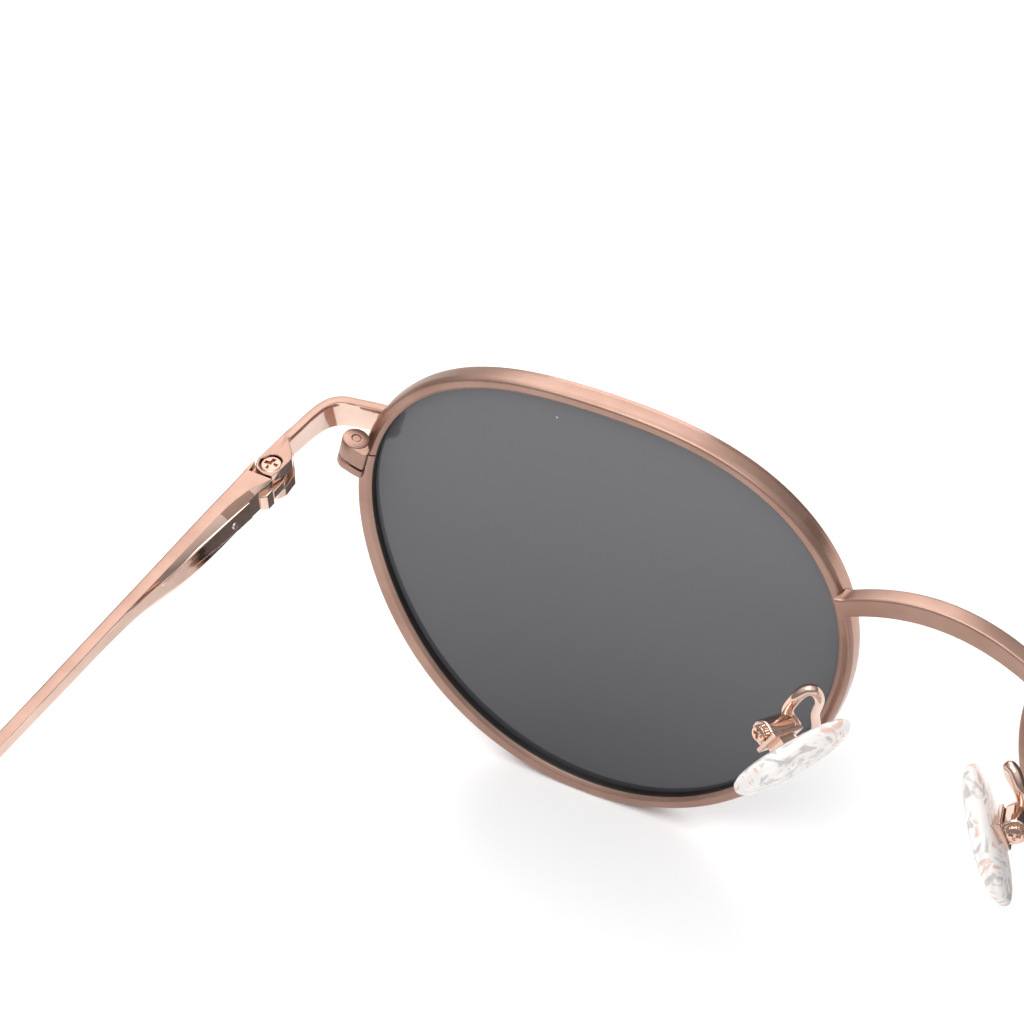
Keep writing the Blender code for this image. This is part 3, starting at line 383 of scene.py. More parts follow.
def silicone_finish():
    """Clear silicone: light passes through it, a faint painted white glow lifts it a little, and grey and rose
    stripes painted on it stand in for reflections of its surroundings, with a wavy skin.
    """
    # painted glow: a faint white emission brightens the pad, though it is no lamp
    mat, tree, shader, place = start_finish(
        "clear_silicone", **{"IOR": 1.41, "Transmission Weight": 0.5, "Emission Color": (1, 1, 1, 1),
                             "Emission Strength": 0.07})
    link = tree.links.new
    painted_reflection_streak = put(tree, "ShaderNodeTexNoise", Scale=300.0, Detail=4.0, Distortion=2.5)
    link(place, painted_reflection_streak.inputs["Vector"])
    # painted reflections: grey and rose stripes in the pad's colour stand in for its surroundings seen in it
    tone = put(tree, "ShaderNodeValToRGB")
    white, grey, rose = tint(255, 254, 252), tint(196, 192, 190), tint(236, 196, 178)
    for at, colour in ((0.38, grey), (0.45, white), (0.56, white), (0.62, rose)):
        tone.color_ramp.elements.new(at).color = colour
    tone.color_ramp.elements[0].color = tint(226, 226, 226)
    tone.color_ramp.elements[-1].color = tint(255, 250, 246)
    link(painted_reflection_streak.outputs["Fac"], tone.inputs["Fac"])
    link(tone.outputs["Color"], shader.inputs["Base Color"])
    wave = put(tree, "ShaderNodeTexNoise", Scale=420.0, Detail=3.0)
    link(place, wave.inputs["Vector"])
    bump = put(tree, "ShaderNodeBump", Distance=0.00025, Strength=0.4)
    link(wave.outputs["Fac"], bump.inputs["Height"])
    link(bump.outputs["Normal"], shader.inputs["Normal"])
    rub = put(tree, "ShaderNodeMapRange")
    for key, value in (("From Min", 0.3), ("From Max", 0.7), ("To Min", 0.05), ("To Max", 0.16)):
        rub.inputs[key].default_value = value
    link(wave.outputs["Fac"], rub.inputs["Value"])
    link(rub.outputs["Result"], shader.inputs["Roughness"])
    return mat


def acetate_finish():
    """Blush acetate: warm, slightly clouded plastic with a polished skin."""
    mat, tree, shader, place = start_finish("blush_acetate", **{"IOR": 1.49, "Coat Weight": 0.4})
    link = tree.links.new
    swirl = put(tree, "ShaderNodeTexNoise", Scale=70.0, Detail=5.0, Distortion=1.2)
    link(place, swirl.inputs["Vector"])
    tone = put(tree, "ShaderNodeMix", data_type="RGBA")
    tone.inputs[6].default_value = tint(196, 142, 122)
    tone.inputs[7].default_value = tint(226, 178, 156)
    link(swirl.outputs["Fac"], tone.inputs["Factor"])
    link(tone.outputs[2], shader.inputs["Base Color"])
    rub = put(tree, "ShaderNodeMapRange")
    for key, value in (("To Min", 0.14), ("To Max", 0.26)):
        rub.inputs[key].default_value = value
    link(swirl.outputs["Fac"], rub.inputs["Value"])
    link(rub.outputs["Result"], shader.inputs["Roughness"])
    return mat


SATIN = plated("satin_rose", tint(172, 140, 126), tint(160, 128, 114), 0.36, 0.46, 0.12)
EDGE = plated("edge_rose", tint(190, 152, 136), tint(176, 138, 122), 0.18, 0.3, 0.06)
POLISHED = plated("polished_rose", tint(230, 200, 184), tint(216, 184, 168), 0.05, 0.1, 0.03, 4000.0)
STEEL = plated("plain_steel", tint(214, 200, 192), tint(190, 176, 170), 0.14, 0.26, 0.06)
# painted shade: near-black finish for the band in each lens's groove, standing in for the groove wall's shade
# and the dark lens reflected in it
PAINTED_GROOVE_SHADE = plated("groove_painted_shade", tint(34, 29, 28), tint(20, 16, 16), 0.35, 0.55, 0.1, metallic=0.0)
GREY_LENS, CLEAR, ACETATE = lens_finish(), silicone_finish(), acetate_finish()


# ---- rims and lenses -----------------------------------------------------------------------------------
LENS_REAR, LENS_MIDDLE, LENS_FRONT = -0.15, -0.7, -1.25     # the lens's faces and edge from the datum, mm
SIDE_LIP = -0.86 * MM               # the rim's outside steps in ahead of this
FULLEST, FULLER_BY = math.radians(38), 0.5 * MM             # the rim swells there, below its outboard side
RIM = soft(np.array([(0.12, -0.1), (0.12, 0.56), (0.5, 0.86), (1.3, 0.9), (1.47, 0.3), (1.5, -0.78),
                     (1.42, -0.84), (1.4, -1.3), (1.05, -1.62), (0.18, -1.62), (0.1, -1.5), (0.1, -1.35),
                     (0.5, LENS_MIDDLE)]) * MM,
           np.array([0.05, 0.06, 0.25, 0.35, 0.5, 0.05, 0.04, 0.2, 0.2, 0.08, 0.03, 0.03, 0.1]) * MM, 6)
SPLIT, SPLIT_GAP = math.radians(19.0), 0.0035               # where the rim is cut, and how wide


def swept_round(side, section, start, stop, steps, loop):
    """Section (out from the lens edge, behind the datum) carried round it, fuller low and outboard."""
    a = np.linspace(start, stop, steps, endpoint=not loop)
    edge, normal = lens_edge(a)
    u, y = section.T
    full = np.clip(np.cos(a + FULLEST), 0, 1)[:, None] ** 3
    u = u + full * FULLER_BY * np.clip((u / MM - 0.5) / 0.8, 0, 1)
    x = LENS_X + edge[:, :1] + u * normal[:, :1]
    v = edge[:, 1:] + u * normal[:, 1:]
    return on_front(side, x, y[None, :], v)


def make_rim(word, side):
    """Split rim with a crowned rear, a brighter lip ahead of its outer step, and a dark band painted into the
    lens's seat as shade and the dark lens's reflection.
    """
    rim = shell(swept_round(side, RIM, SPLIT + SPLIT_GAP, SPLIT + TURN - SPLIT_GAP, 421, False))

    def outer_lip(normals, centres):
        away = centres - on_front(side, LENS_X, 0, 0)
        back = on_front(side, 0, 1, 0) - on_front(side, 0, 0, 0)
        outwards = (normals * away).sum(1) > 0.3 * np.linalg.norm(away, axis=1)
        return outwards & (away @ back < SIDE_LIP)

    piece("rim_" + word + "_wire", [rim], SATIN, "front", ["rim_" + word], 38,
          EDGE, outer_lip)
    # painted shade: a thin dark ring along the groove's inner wall, put in place of its shade and its
    # reflection of the dark lens
    band = soft(np.array([(0.05, -0.25), (0.03, -0.12), (0.05, 0.42), (0.1, 0.5), (0.2, 0.5),
                          (0.2, -0.25)]) * MM, 0.02 * MM, 3)
    painted_shade_ring = shell(swept_round(side, band, 0, TURN, 360, True), loop=True, caps=False)
    piece("lens_seat_painted_shade_" + word, [painted_shade_ring], PAINTED_GROOVE_SHADE, "front", [])


def make_lens(word, side):
    """Flat lens: face, bevelled edge in the groove, and the other face, from middle to middle."""
    a = np.linspace(0, TURN, 360, endpoint=False)
    edge, normal = lens_edge(a)
    rings = []
    shares = (0.02, 0.3, 0.6, 0.85, 0.97)
    for share, u, y in ([(s, 0, LENS_REAR) for s in shares]
                        + [(1, 0.06, LENS_REAR), (1, 0.1, LENS_REAR - 0.04), (1, 0.36, LENS_MIDDLE),
                           (1, 0.1, LENS_FRONT + 0.04), (1, 0.06, LENS_FRONT)]
                        + [(s, 0, LENS_FRONT) for s in shares[::-1]]):
        x = LENS_X + share * edge[:, 0] + u * MM * normal[:, 0]
        v = share * edge[:, 1] + u * MM * normal[:, 1]
        rings.append(on_front(side, x, y * MM, v))
    piece("lens_" + word + "_glass", [shell(np.stack(rings))], GREY_LENS, "front",
          ["lens_" + word])


def rim_reach(v, y, space):
    """Distance from the middle to the nasal side of the rim's outside at height v and depth y."""
    edge, normal = lens_edge(np.linspace(0, TURN, 1440, endpoint=False))
    deep = np.interp(y, np.array([-1.6, -0.9, 0.3, 0.9]) * MM, np.array([1.0, 1.42, 1.42, 1.2]) * MM)
    out = []
    for height, depth in zip(np.ravel(v), np.ravel(deep)):
        rim = edge + (depth + space) * normal
        half = rim[:, 0] < 0
        rank = np.argsort(rim[half, 1])
        out.append(LENS_X + np.interp(height, rim[half, 1][rank], rim[half, 0][rank]))
    return np.array(out).reshape(np.shape(v))


def make_bridge():
    """Arched bar: crest falls with the square of x, and the section flares where it meets each rim."""
    section = soft(np.array([(0.05, 0.1), (-1.8, 0.1), (-1.8, -2.12), (0.05, -2.12)]) * MM, 0.34 * MM, 7)
    share = np.linspace(-1, 1, 161)
    near = np.clip((np.abs(share) - 0.9) / 0.1, 0, 1) ** 2 * 0.35 * MM
    rings = []
    for s, flare in zip(share, near):
        side = -1 if s < 0 else 1
        middle = np.array([-0.9 * MM, -1.0 * MM])
        y, drop = (section + np.sign(section - middle) * flare * np.array([0.3, 1.0])).T
        x = np.zeros(len(y))
        for _ in range(6):
            v = 13.4 * MM - 24.5 * x * x + drop
            depth = 1.0 * MM + y + 0.44 * MM * (x / (8 * MM)) ** 2 - math.sin(WRAP) * x
            x = abs(s) * rim_reach(v, depth, -0.12 * MM)
        rings.append(on_front(side, x, depth, v))
    piece("bridge_bar", [shell(np.stack(rings))], SATIN, "front", ["bridge"])


# ---- closing block ---------------------------------------------------------------------------------------
def make_closing_block(word, side):
    """Split barrel with a web into each rim end; its screw shows in the top and has its head below."""
    top = on_front(side, 59.52 * MM, 2.35 * MM, 11.35 * MM)
    bottom = on_front(side, 60.33 * MM, 2.35 * MM, 8.05 * MM)
    way = (top - bottom) / np.linalg.norm(top - bottom)
    long = float(np.linalg.norm(top - bottom))
    split = 0.32 * long
    r, e, hole = 1.33 * MM, 0.2 * MM, 0.5 * MM
    inner = np.array([-side * 1.0, 0.06, 0.0])
    inner -= way * inner.dot(way)
    inner /= np.linalg.norm(inner)
    deep = np.cross(way, inner)
    for name, low, high in (("upper", split + 0.06 * MM, long), ("lower", 0.0, split)):
        ends = [(low, hole), (low, r - e), (low + 0.3 * e, r - 0.3 * e), (low + e, r), (high - e, r),
                (high - 0.3 * e, r - 0.3 * e), (high, r - e), (high, hole), (high - 0.3 * MM, hole - 0.02 * MM)]
        solid = turned(bottom, way, ends)
        web = soft(np.array([(-0.3, -1.25), (1.0, -1.3), (2.1, -1.2), (1.9, -0.4), (0.9, 0.6),
                             (-0.3, 1.25)]) * MM, np.array([0.3, 0.5, 0.3, 0.3, 0.8, 0.4]) * MM, 7)
        rings = [bottom + way * t + np.outer(web[:, 0] - s, inner) + np.outer(web[:, 1], deep)
                 for t, s in ((low + 0.12 * MM, 0.08 * MM), (low + 0.2 * MM, 0), (high - 0.2 * MM, 0),
                              (high - 0.12 * MM, 0.08 * MM))]
        piece(f"closing_block_{name}_{word}_barrel", [solid, shell(np.stack(rings))], SATIN, "front",
              [f"closing_block_{name}_{word}"])
    head = np.array([(-0.3, 0.5), (-0.3, 0.75), (-0.22, 0.85), (-0.02, 0.85), (-0.02, 0.44)]) * MM
    shank = [(long - 0.1 * MM, 0.44 * MM), (long - 0.04 * MM, 0.38 * MM)]
    screw = turned(bottom, way, np.vstack([head, shank]))
    piece("closing_screw_" + word + "_thread", [screw], SATIN, "front", ["closing_screw_" + word])


# ---- end piece and hinge ---------------------------------------------------------------------------------
def make_end_piece(word, side):
    """Flat strip from the rim, round the corner, to the hinge block; its inner face leans in at the top."""
    t = np.linspace(0, 1, 90)
    outer = curve(t * 8, range(9), np.array([(-6.4, -11.55), (-4.8, -11.35), (-3.2, -11.05), (-1.7, -10.75),
                                            (-0.55, -10.05), (0.15, -8.9), (0.55, -7.3), (0.8, -5.5),
                                            (1.05, -3.7)]) * MM)
    way = np.gradient(outer, axis=0)
    way /= np.linalg.norm(way, axis=1)[:, None]
    inward = np.stack([-way[:, 1], way[:, 0]], axis=1)
    low = TOP - curve(t, [0, 0.38, 0.6, 1.0], np.array([3.9, 4.0, 3.75, 3.4]) * MM)
    wide = 1.05 * MM
    section = soft(np.array([(0, 0), (0, 1), (1, 1), (0.24, 0)]), [0.08, 0.14, 0.09, 0.08], 6)
    rings = []
    for p, q, z in zip(outer, inward, low):
        depth = section[:, 0] * wide
        rings.append(by_hinge(side, p[0] + depth * q[0], p[1] + depth * q[1], z + section[:, 1] * (TOP - z)))
    piece("end_piece_" + word + "_strip", [shell(np.stack(rings))], POLISHED, "front",
          ["end_piece_" + word], 30, SATIN, lambda n, c: n[:, 2] > 0.6)


def bored_slab(outline, hole, low, high, edge, place, sink=None):
    """Plate with a round hole: the outline's rings join the hole's rings; sink is a wider, shallow start."""
    normal = outward(outline)
    a = np.unwrap(np.arctan2(outline[:, 1], outline[:, 0]))
    circle = np.stack([np.cos(a), np.sin(a)], axis=1)
    q = np.linspace(0, math.pi / 2, 5)
    rings = [place(*(hole * circle).T, low)]
    rings += [place(*(outline - edge * (1 - np.sin(t)) * normal).T, low + edge * (1 - np.cos(t))) for t in q]
    rings += [place(*(outline - edge * (1 - np.cos(t)) * normal).T, high - edge * (1 - np.sin(t))) for t in q]
    wide, deep = sink or (hole, 0.0)
    rings.append(place(*(outline - 1.25 * edge * normal).T, high))
    rings.append(place(*((wide + 0.12 * MM) * circle).T, high))
    rings.append(place(*((wide + 0.07 * MM) * circle).T, high))
    rings.append(place(*(wide * circle).T, high - 0.06 * MM))
    rings.append(place(*(wide * circle).T, high - max(deep, 0.1 * MM)))
    rings.append(place(*(hole * circle).T, high - max(deep, 0.1 * MM)))
    return shell(np.stack(rings), loop=True, caps=False)


def cross_head(base, way, radius, tall, knurl=0, sides=96):
    """Screw head: a turned button whose top sinks along two crossed bars; a knurl ripples its side."""
    way = np.asarray(way, float) / np.linalg.norm(way)
    side = np.cross(way, [1.0, 0, 0])
    side /= np.linalg.norm(side)
    up = np.cross(way, side)
    a = np.linspace(0, TURN, sides, endpoint=False)
    r = np.concatenate([np.linspace(0.0, 0.86, 26)[1:], [0.93, 0.98, 1.0, 1.0]])
    h = np.concatenate([1 - 0.16 * np.linspace(0, 0.86, 26)[1:] ** 2, [0.84, 0.76, 0.62, 0.0]])
    x, y = r[:, None] * np.cos(a), r[:, None] * np.sin(a)
    height = np.broadcast_to(h[:, None], x.shape).copy()
    long, narrow = 0.62, 0.17
    bar = np.minimum(np.maximum(np.abs(x) / long, np.abs(y) / narrow),
                     np.maximum(np.abs(y) / long, np.abs(x) / narrow))
    height -= 0.5 * np.clip((1.12 - bar) / 0.22, 0, 1) * (r[:, None] < 0.9)
    ripple = 1 + (0.035 * np.cos(knurl * a)[None, :] * (r[:, None] > 0.97) if knurl else 0)
    grid = (np.asarray(base, float) + (radius * x * ripple)[..., None] * side
            + (radius * y * ripple)[..., None] * up + (tall * height)[..., None] * way)
    return shell(grid)


HINGE_BORE, HINGE_SHANK = 0.52 * MM, 0.44 * MM


def make_hinge(word, side):
    """Two leaves on the front, above and below the slider's eye, and a cross-head screw through all three.

    Inboard of the screw and behind it the leaves stay within the sweep of the folding temple's end.
    """
    def place(out, back, z):
        return by_hinge(side, out, back, z)

    leaf = soft(np.array([(0.84, -5.0), (1.06, -3.6), (1.25, -1.8), (1.46, 0.0), (1.1, 1.1), (0.0, 1.5),
                          (-1.0, 1.4), (-1.32, 0.4), (-1.52, -1.3), (-1.05, -2.1), (0.16, -3.4),
                          (0.34, -5.0)]) * MM,
                np.array([0.05, 1.0, 3.0, 0.9, 0.9, 1.2, 0.3, 1.0, 0.5, 0.6, 0.5, 0.05]) * MM, 7)
    lower = soft(np.array([(1.0, -3.75), (1.4, 0.0), (1.05, 1.1), (0.2, 1.6), (-1.2, 1.24), (-1.62, 0.4),
                           (-1.55, -1.3), (-1.05, -2.1), (0.05, -3.5), (0.15, -3.75)]) * MM,
                 np.array([0.05, 1.0, 0.9, 0.9, 0.4, 0.6, 0.5, 0.6, 0.2, 0.05]) * MM, 7)
    counterbore = (1.12 * MM, 0.6 * MM)
    top = bored_slab(leaf, HINGE_BORE, TOP - 1.22 * MM, TOP - 0.012 * MM, 0.1 * MM, place, counterbore)
    under = bored_slab(lower, HINGE_BORE, TOP - 3.4 * MM, TOP - 2.3 * MM, 0.14 * MM, place)
    piece("front_hinge_" + word + "_leaves", [top, under], POLISHED, "front", ["front_hinge_" + word],
          30, SATIN, lambda n, c: (n[:, 2] > 0.6) | (side * n[:, 0] > 0.3))
    head = cross_head(by_hinge(side, 0, 0, TOP - 0.58 * MM), (0, 0, 1), 1.02 * MM, 0.5 * MM)
    shank = turned(by_hinge(side, 0, 0, TOP - 3.3 * MM), (0, 0, 1),
                   [(0, 0.3 * MM), (0.1 * MM, HINGE_SHANK), (2.72 * MM, HINGE_SHANK)], 32)
    piece("hinge_screw_" + word + "_cross", [head, shank], EDGE, "front", ["hinge_screw_" + word],
          30)


def make_slider(word, side):
    """Eye between the leaves, the block behind it, its neck, and the round shank into the housing."""
    def place(out, back, z):
        return by_hinge(side, out, back, z)

    eye = soft(np.array([(1.15, -0.6), (1.15, 0.6), (0.85, 1.2), (0.7, 2.2), (-1.5, 2.2), (-1.6, 0.6),
                         (-1.25, -0.6), (0.0, -1.35)]) * MM,
               np.array([0.6, 0.5, 0.4, 0.1, 0.2, 0.5, 0.7, 1.2]) * MM, 7)
    plate = bored_slab(eye, HINGE_BORE, TOP - 2.2 * MM, TOP - 1.32 * MM, 0.07 * MM, place)
    block = soft(np.array([(0.9, 2.1), (0.9, 2.9), (-0.9, 3.5), (-1.42, 3.1), (-1.5, 2.1)]) * MM, 0.18 * MM)
    stack = slab(block, TOP - 2.85 * MM, TOP - 1.0 * MM, 0.15 * MM, place)
    strap = soft(np.array([(-0.75, 2.9), (-0.1, 2.9), (0.5, 6.4), (-0.15, 6.4)]) * MM, 0.08 * MM)
    neck = slab(strap, TOP - 2.25 * MM, TOP - 1.25 * MM, 0.1 * MM, place)
    shank = turned(on_temple(side, 0.33 * MM, 3.0 * MM, TOP - 1.6 * MM), (side * SPLAY, 1, RISE),
                   [(0, 0.27 * MM), (7.2 * MM, 0.27 * MM), (7.4 * MM, 0.2 * MM)], 32)
    piece("slider_" + word + "_eye", [plate, stack, neck, shank], POLISHED, f"spring_slider_{word}",
          ["slider_" + word, "slider_spring_" + word], 30)


# ---- temples -----------------------------------------------------------------------------------------------
def temple_line(distance):
    """Height and place of the wire's middle along the temple: straight, an ear bend, straight again."""
    d = np.asarray(distance, float)
    start, r, bend = 84 * MM, 20 * MM, math.radians(50)
    a = np.clip((d - start) / r, 0, bend)
    more = np.maximum(0, d - start - r * bend)
    back = np.minimum(d, start) + r * np.sin(a) + more * math.cos(bend)
    drop = r * (1 - np.cos(a)) + more * math.sin(bend)
    return back, TOP - 0.675 * MM - drop, a


def make_temple(word, side):
    """Temple: a deep front with sloped inner bevels round the housing, drawn down to a square wire.

    Six corners at each station (crest, face, shoulder, foot, floor, inset) follow smooth lines; a thin
    fin stands outside the hinge.
    """
    s = np.concatenate([[1.75, 1.78, 1.88], np.linspace(2.0, 34, 120), np.linspace(36, 140, 110)]) * MM
    back, middle, a = temple_line(s)
    at = np.array([1.75, 2.6, 3.7, 4.9, 6.2, 9.0, 12.0, 14.5, 16.8, 20.0, 24.0, 30.0, 141.0]) * MM
    row = lambda *v: curve(s, at, np.array(v) * MM)
    crest = row(-1.34, -0.95, -0.42, -0.15, 0.05, 0.12, 0.2, 0.25, 0.28, 0.3, 0.3, 0.3, 0.3)
    face = row(-1.4, -1.2, -1.0, -0.9, -0.8, -0.62, -0.4, -0.2, 0.0, 0.16, 0.26, 0.3, 0.3)
    shoulder = row(0.12, 0.25, 0.42, 0.52, 0.58, 0.62, 0.6, 0.55, 0.5, 0.35, 0.25, 0.2, 0.2)
    foot = row(2.65, 2.65, 2.7, 2.75, 2.8, 2.95, 2.95, 2.7, 2.25, 1.7, 1.45, 1.35, 1.25)
    floor = row(3.0, 3.0, 3.05, 3.15, 3.4, 3.75, 3.8, 3.45, 2.85, 2.15, 1.8, 1.65, 1.5)
    inset = row(-1.0, -0.8, -0.6, -0.42, -0.3, -0.1, 0.05, 0.15, 0.22, 0.35, 0.42, 0.45, 0.45)
    outer = np.full(len(s), 1.6 * MM)
    half = 0.675 * MM
    slim = np.clip((s - 76 * MM) / (2 * MM), 0, 1)
    flat = np.full(len(s), half)
    corners = np.stack([np.stack(pair, axis=1) for pair in (
        (outer, flat), (crest, flat), (face, half - shoulder), (face + 0.02 * MM, half - foot),
        (inset, half - floor), (outer, half - floor))], axis=1)
    radii = np.array([0.22, 0.09, 0.12, 0.12, 0.2, 0.25]) * MM
    middle = middle - curve(s, np.array([1.75, 8.0, 16.0, 30.0, 50.0, 84.0, 141.0]) * MM,
                            np.array([0, 0.05, 0.3, 0.6, 0.5, 0, 0]) * MM)
    rings = []
    for c, b, z, turn, thin in zip(corners, back, middle, a, slim):
        ring = soft(c, radii * (1 - 0.3 * thin), 5)
        t, h = ring[:, 0] * (1 - 0.2 * thin) + 0.19 * MM * thin, ring[:, 1] * (1 - 0.2 * thin)
        rings.append(on_temple(side, t, b + h * math.sin(turn), z + h * math.cos(turn)))
    lip = soft(np.array([(1.22, 2.2), (1.3, 1.4), (1.47, 0.45), (1.58, 0.5), (1.6, 2.2)]) * MM, 0.05 * MM)
    fin = slab(lip[::-1], TOP - 2.8 * MM, TOP - 0.02 * MM, 0.03 * MM,
               lambda out, back, z: on_temple(side, out, back, z))
    piece("temple_" + word + "_bar", [shell(np.stack(rings)), fin], POLISHED, f"temple_side_{word}",
          ["temple_" + word], 24, SATIN,
          lambda n, c: (n[:, 2] > 0.8) | (side * n[:, 0] > 0.5))


def make_housing(word, side):
    """Boat-shaped spring housing let into the temple's inner face, with a bright bevel and a stop pin."""
    long = 12.2
    shape = [(0.0, 0.62), (0.3, 0.62), (0.58, 0.66), (0.8, 0.86), (0.93, 1.05), (1.0, 1.2), (0.97, 1.4),
             (0.88, 1.75), (0.66, 2.25), (0.42, 2.55), (0.16, 2.72), (0.0, 2.72)]
    outline = soft(np.array([(4.75 + q * long, d) for q, d in shape]) * MM,
                   np.array([0.1, 3, 3, 3, 1, 0.2, 1, 3, 3, 3, 3, 0.1]) * MM, 6)
    face = lambda b: curve(b, np.array([4.0, 6.2, 9.0, 12.0, 14.5, 17.5]) * MM,
                           np.array([-0.98, -0.84, -0.62, -0.4, -0.2, 0.05]) * MM)

    def place(b, d, z):
        return on_temple(side, face(b) - z, b, TOP - d)

    plate = slab(outline, -0.4 * MM, 0.1 * MM, 0.09 * MM, place)
    piece("spring_housing_" + word + "_cover", [plate], POLISHED, f"temple_side_{word}",
          ["spring_housing_" + word, "spring_stop_" + word], 30)
    base = on_temple(side, -0.86 * MM, 7.1 * MM, TOP - 1.75 * MM)
    pin = turned(base, (side, -0.1, 0), [(-0.1 * MM, 0.26 * MM), (-0.08 * MM, 0.34 * MM), (0, 0.38 * MM),
                                         (0.6 * MM, 0.38 * MM)], 40)
    piece("stop_pin_" + word + "_end", [pin], STEEL, f"temple_side_{word}", ["stop_pin_" + word], 30)


def make_tip(word, side):
    """Sleeve over the wire's end: a squared oval that swells along its run and closes in a rounded end."""
    start, end = 76.0 * MM, 144.5466 * MM
    share = np.concatenate([[0.0, 0.0, 0.002, 0.006], np.linspace(0.012, 0.9, 110),
                            0.9 + 0.1 * np.sin(np.linspace(0, math.pi / 2, 22))[1:]])
    d = start + share * (end - start)
    back, middle, a = temple_line(d)
    grow = np.clip(share / 0.85, 0, 1) ** 1.5
    nose = 0.28 + 0.72 * np.sqrt(np.clip(1 - np.clip((share - 0.9) / 0.1, 0, 1) ** 2, 0, 1))
    mouth = np.array([0.62, 0.9, 0.97, 1.0] + [1.0] * (len(share) - 4))
    thick = (2.6 * MM + 0.3 * MM * grow) * nose * mouth
    tall = (2.9 * MM + 2.7 * MM * grow) * nose * mouth
    r = np.linspace(0, TURN, 56, endpoint=False)
    t = 0.95 * MM + 0.5 * thick[:, None] * np.sign(np.cos(r)) * np.abs(np.cos(r)) ** 0.7
    h = 0.5 * tall[:, None] * np.sign(np.sin(r)) * np.abs(np.sin(r)) ** 0.8
    grid = on_temple(side, t, back[:, None] + h * np.sin(a)[:, None], middle[:, None] + h * np.cos(a)[:, None])
    piece("temple_tip_" + word + "_sleeve", [shell(grid)], ACETATE, f"temple_side_{word}",
          ["temple_tip_" + word], 60)


# ---- nose pads ---------------------------------------------------------------------------------------------
def unit(vector):
    """Vector of the same direction, one long."""
    return np.asarray(vector, float) / np.linalg.norm(vector)


SCREW_AXIS = unit((-0.299, -0.854, -0.426))             # pad screw, from head to tip
FACE_WAY = np.array([-0.808, 0.464, -0.363])            # out of the pad, to the nose
FACE_WAY = unit(FACE_WAY - SCREW_AXIS * FACE_WAY.dot(SCREW_AXIS))
UP_WAY = np.cross(FACE_WAY, SCREW_AXIS)
PAD_SCREW_AT = np.array([12.59 * MM, FRONT_Y + 10.38 * MM, LENS_Z + 2.0 * MM])
BOX_MIDDLE = PAD_SCREW_AT + SCREW_AXIS * 1.9 * MM


def make_pad(word, side):
    """Box with its cross screw, the lug in it, and the clear pad: a pillow, fuller at its lower end."""
    mirror = np.array([side, 1, 1])
    long, wide, face = UP_WAY * mirror, SCREW_AXIS * mirror, FACE_WAY * mirror
    centre = BOX_MIDDLE * mirror

    def place(a, c, b):
        a, b, c = np.broadcast_arrays(a, b, c)
        return centre + a[..., None] * long + b[..., None] * wide + c[..., None] * face

    arc = np.linspace(math.pi, TURN, 22)
    shape = np.concatenate([np.array([(1.15, 0.6), (0.95, 1.15), (-0.95, 1.15), (-1.15, 0.6)]) * MM,
                            1.2 * MM * np.stack([np.cos(arc), np.sin(arc)], axis=1)])
    box = slab(soft(shape, 0.15 * MM, 3), -1.7 * MM, 1.7 * MM, 0.22 * MM, place)
    foot = soft(np.array([(-1.42, 1.3), (-1.42, 0.85), (1.42, 0.85), (1.42, 1.3)]) * MM, 0.1 * MM)
    flange = slab(foot, -1.95 * MM, 1.95 * MM, 0.1 * MM, place)
    piece("pad_box_" + word + "_body", [box, flange], POLISHED, "front", ["pad_box_" + word],
          30)
    head = place(np.array(0.0), np.array(0.0), np.array(-1.72 * MM))
    piece("pad_screw_" + word + "_cross", [cross_head(head, -wide, 0.78 * MM, 0.55 * MM, knurl=20)], POLISHED,
          "front", ["pad_screw_" + word], 30)
    lug = soft(np.array([(-0.9, 1.2), (-0.9, 2.1), (0.9, 2.1), (0.9, 1.2)]) * MM, 0.1 * MM)
    tongue = slab(lug, -1.0 * MM, 1.0 * MM, 0.08 * MM, place)
    piece("pad_lug_" + word + "_tongue", [tongue], POLISHED, f"nose_pad_side_{word}", ["pad_lug_" + word],
          30)
    turn, half_long = (0.15, 6.1 * MM) if side > 0 else (0.0, 6.7 * MM)
    along = np.array([-0.579, -0.742, 0.339]) * mirror
    along -= face * along.dot(face)
    along /= np.linalg.norm(along)
    across = np.cross(along, face)
    along, across = (along * math.cos(turn) + across * math.sin(turn),
                     across * math.cos(turn) - along * math.sin(turn))
    middle = place(np.array(-0.3 * MM), np.array(1.85 * MM), np.array(1.0 * MM)) - along * 0.35 * MM
    a = np.linspace(0, TURN, 96, endpoint=False)
    q = np.linspace(0, math.pi, 40)
    ring = np.sin(q) ** 0.55
    ring[0] = ring[-1] = 0.02
    depth = 0.5 - 0.5 * np.sign(np.cos(q)) * np.abs(np.cos(q)) ** 0.8
    half_wide, thick = 3.3 * MM, 2.4 * MM
    c, s = (np.sign(n) * np.abs(n) ** 0.84 for n in (np.cos(a), np.sin(a)))
    p = half_long * ring[:, None] * c
    w = half_wide * ring[:, None] * s * (1 - 0.07 * np.cos(a))
    grid = (middle + p[..., None] * along + w[..., None] * across
            + (thick * depth[:, None] * (1 - 0.12 * ring[:, None] ** 2 * np.cos(a) ** 2))[..., None] * face)
    piece("nose_pad_" + word + "_soft", [shell(grid)], CLEAR, f"nose_pad_side_{word}", ["nose_pad_" + word],
          60)


# outboard of the middle, behind the datum line and above the lens centre, mm
ARM_KNOTS = [(11.06, 3.25, -7.07), (10.53, 3.35, -3.84), (10.23, 4.0, -0.77), (9.5, 4.62, 2.18),
             (9.62, 5.27, 4.1), (10.32, 5.68, 4.23), (11.09, 6.27, 3.31), (11.7, 6.63, 1.58)]


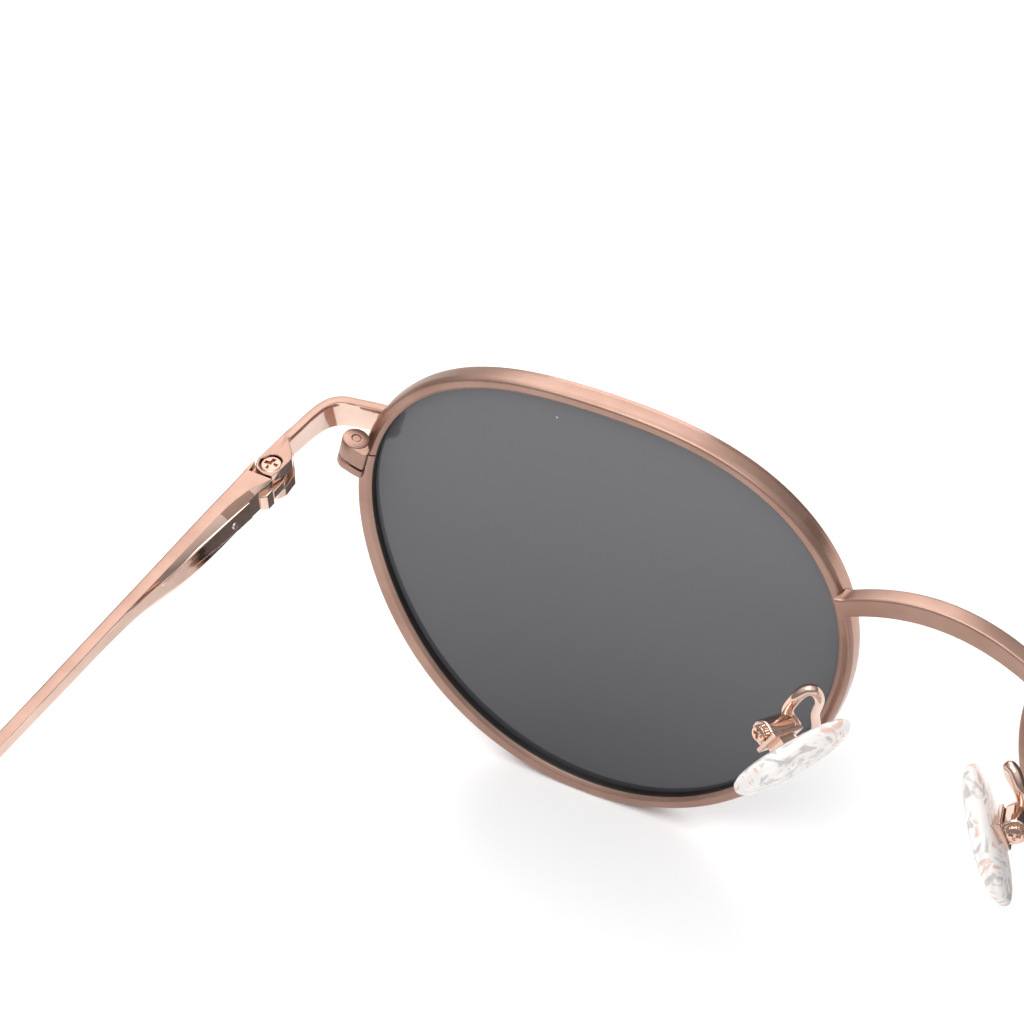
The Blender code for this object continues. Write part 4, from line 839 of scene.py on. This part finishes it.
def make_pad_arm(word, side):
    """Bent wire: up from the back of the rim, over in a loop, and flat down the far end of the pad box."""
    mirror = np.array([side, 1, 1])
    knots = np.array(ARM_KNOTS) * MM
    knots = knots * mirror + [0, FRONT_Y, LENS_Z]
    end = (BOX_MIDDLE + SCREW_AXIS * 2.3 * MM) * mirror
    long, face = UP_WAY * mirror, FACE_WAY * mirror
    knots = np.vstack([knots, end + long * 0.3 * MM + face * 0.5 * MM])
    path = curve(np.linspace(0, 8, 140), range(9), knots)
    radius = curve(np.linspace(0, 8, 140), [0, 2, 4, 5, 6, 7, 8],
                   np.array([0.5, 0.52, 0.56, 0.57, 0.58, 0.6, 0.62]) * MM)
    piece("pad_arm_" + word + "_loop", [wire(path, radius)], POLISHED, "front", ["pad_arm_" + word],
          60)


make_bridge()
for word, side in SIDES:
    make_rim(word, side)
    make_lens(word, side)
    make_closing_block(word, side)
    make_end_piece(word, side)
    make_hinge(word, side)
    make_slider(word, side)
    make_temple(word, side)
    make_housing(word, side)
    make_tip(word, side)
    make_pad(word, side)
    make_pad_arm(word, side)


# ---- floor, light and camera -----------------------------------------------------------------------------
def make_stage():
    """Pale floor, a white surround, and two broad soft lights, above and high in front."""
    mesh = bpy.data.meshes.new("floor")
    mesh.from_pydata([(-3, -3, 0), (3, -3, 0), (3, 3, 0), (-3, 3, 0)], [], [(0, 1, 2, 3)])
    floor = bpy.data.objects.new("floor", mesh)
    floor.location.z = -0.00002
    bpy.context.scene.collection.objects.link(floor)
    mat = start_finish("pale_floor", **{"Roughness": 0.55, "Base Color": (0.93, 0.93, 0.93, 1)})[0]
    mesh.materials.append(mat)
    world = bpy.data.worlds.new("surround")
    world.use_nodes = True
    tree = world.node_tree
    way = put(tree, "ShaderNodeTexCoord")
    split = put(tree, "ShaderNodeSeparateXYZ")
    ramp = put(tree, "ShaderNodeValToRGB")
    for at, level in ((0.3, 0.3), (0.55, 0.62), (0.8, 1.0)):
        stop = ramp.color_ramp.elements.new(at)
        stop.color = (level, level, level * 1.01, 1)
    ramp.color_ramp.elements[0].color = (0.3, 0.3, 0.3, 1)
    ramp.color_ramp.elements[-1].color = (1, 1, 1, 1)
    tree.links.new(way.outputs["Generated"], split.inputs["Vector"])
    tree.links.new(split.outputs["Z"], ramp.inputs["Fac"])
    tree.links.new(ramp.outputs["Color"], tree.nodes["Background"].inputs["Color"])
    tree.nodes["Background"].inputs["Strength"].default_value = 1.05
    bpy.context.scene.world = world
    for name, at, size, power in (("overhead", (0.1, 0.15, 0.8), 0.6, 3.2),
                                  ("high front", (0.27, -0.45, 0.45), 0.55, 1.75)):
        lamp = bpy.data.lights.new(name, "AREA")
        lamp.shape, lamp.size, lamp.energy = "DISK", size, power
        light = bpy.data.objects.new(name, lamp)
        aim = Vector((0.03, -0.05, 0.02)) - Vector(at)
        light.matrix_world = Matrix.Translation(at) @ aim.to_track_quat("-Z", "Y").to_matrix().to_4x4()
        bpy.context.scene.collection.objects.link(light)
    bpy.context.scene.view_settings.view_transform = "Standard"


def make_camera():
    """Camera above and behind the wearer's left shoulder, looking down at the left lens."""
    cam = bpy.data.cameras.new("camera")
    cam.lens, cam.sensor_width = 120.97, 36
    cam.clip_start, cam.clip_end = 0.01, 20
    obj = bpy.data.objects.new("camera", cam)
    right = (-0.8634162, -0.49968149, -0.0695045)
    up = (0.32688293, -0.65904943, 0.6773488)
    back = (-0.38426556, 0.56211409, 0.73237131)
    obj.matrix_world = Matrix([(right[i], up[i], back[i], (-81.42 * MM, 116.904 * MM, 271.619 * MM)[i])
                               for i in range(3)] + [(0, 0, 0, 1)])
    bpy.context.scene.collection.objects.link(obj)
    bpy.context.scene.camera = obj


make_stage()
make_camera()
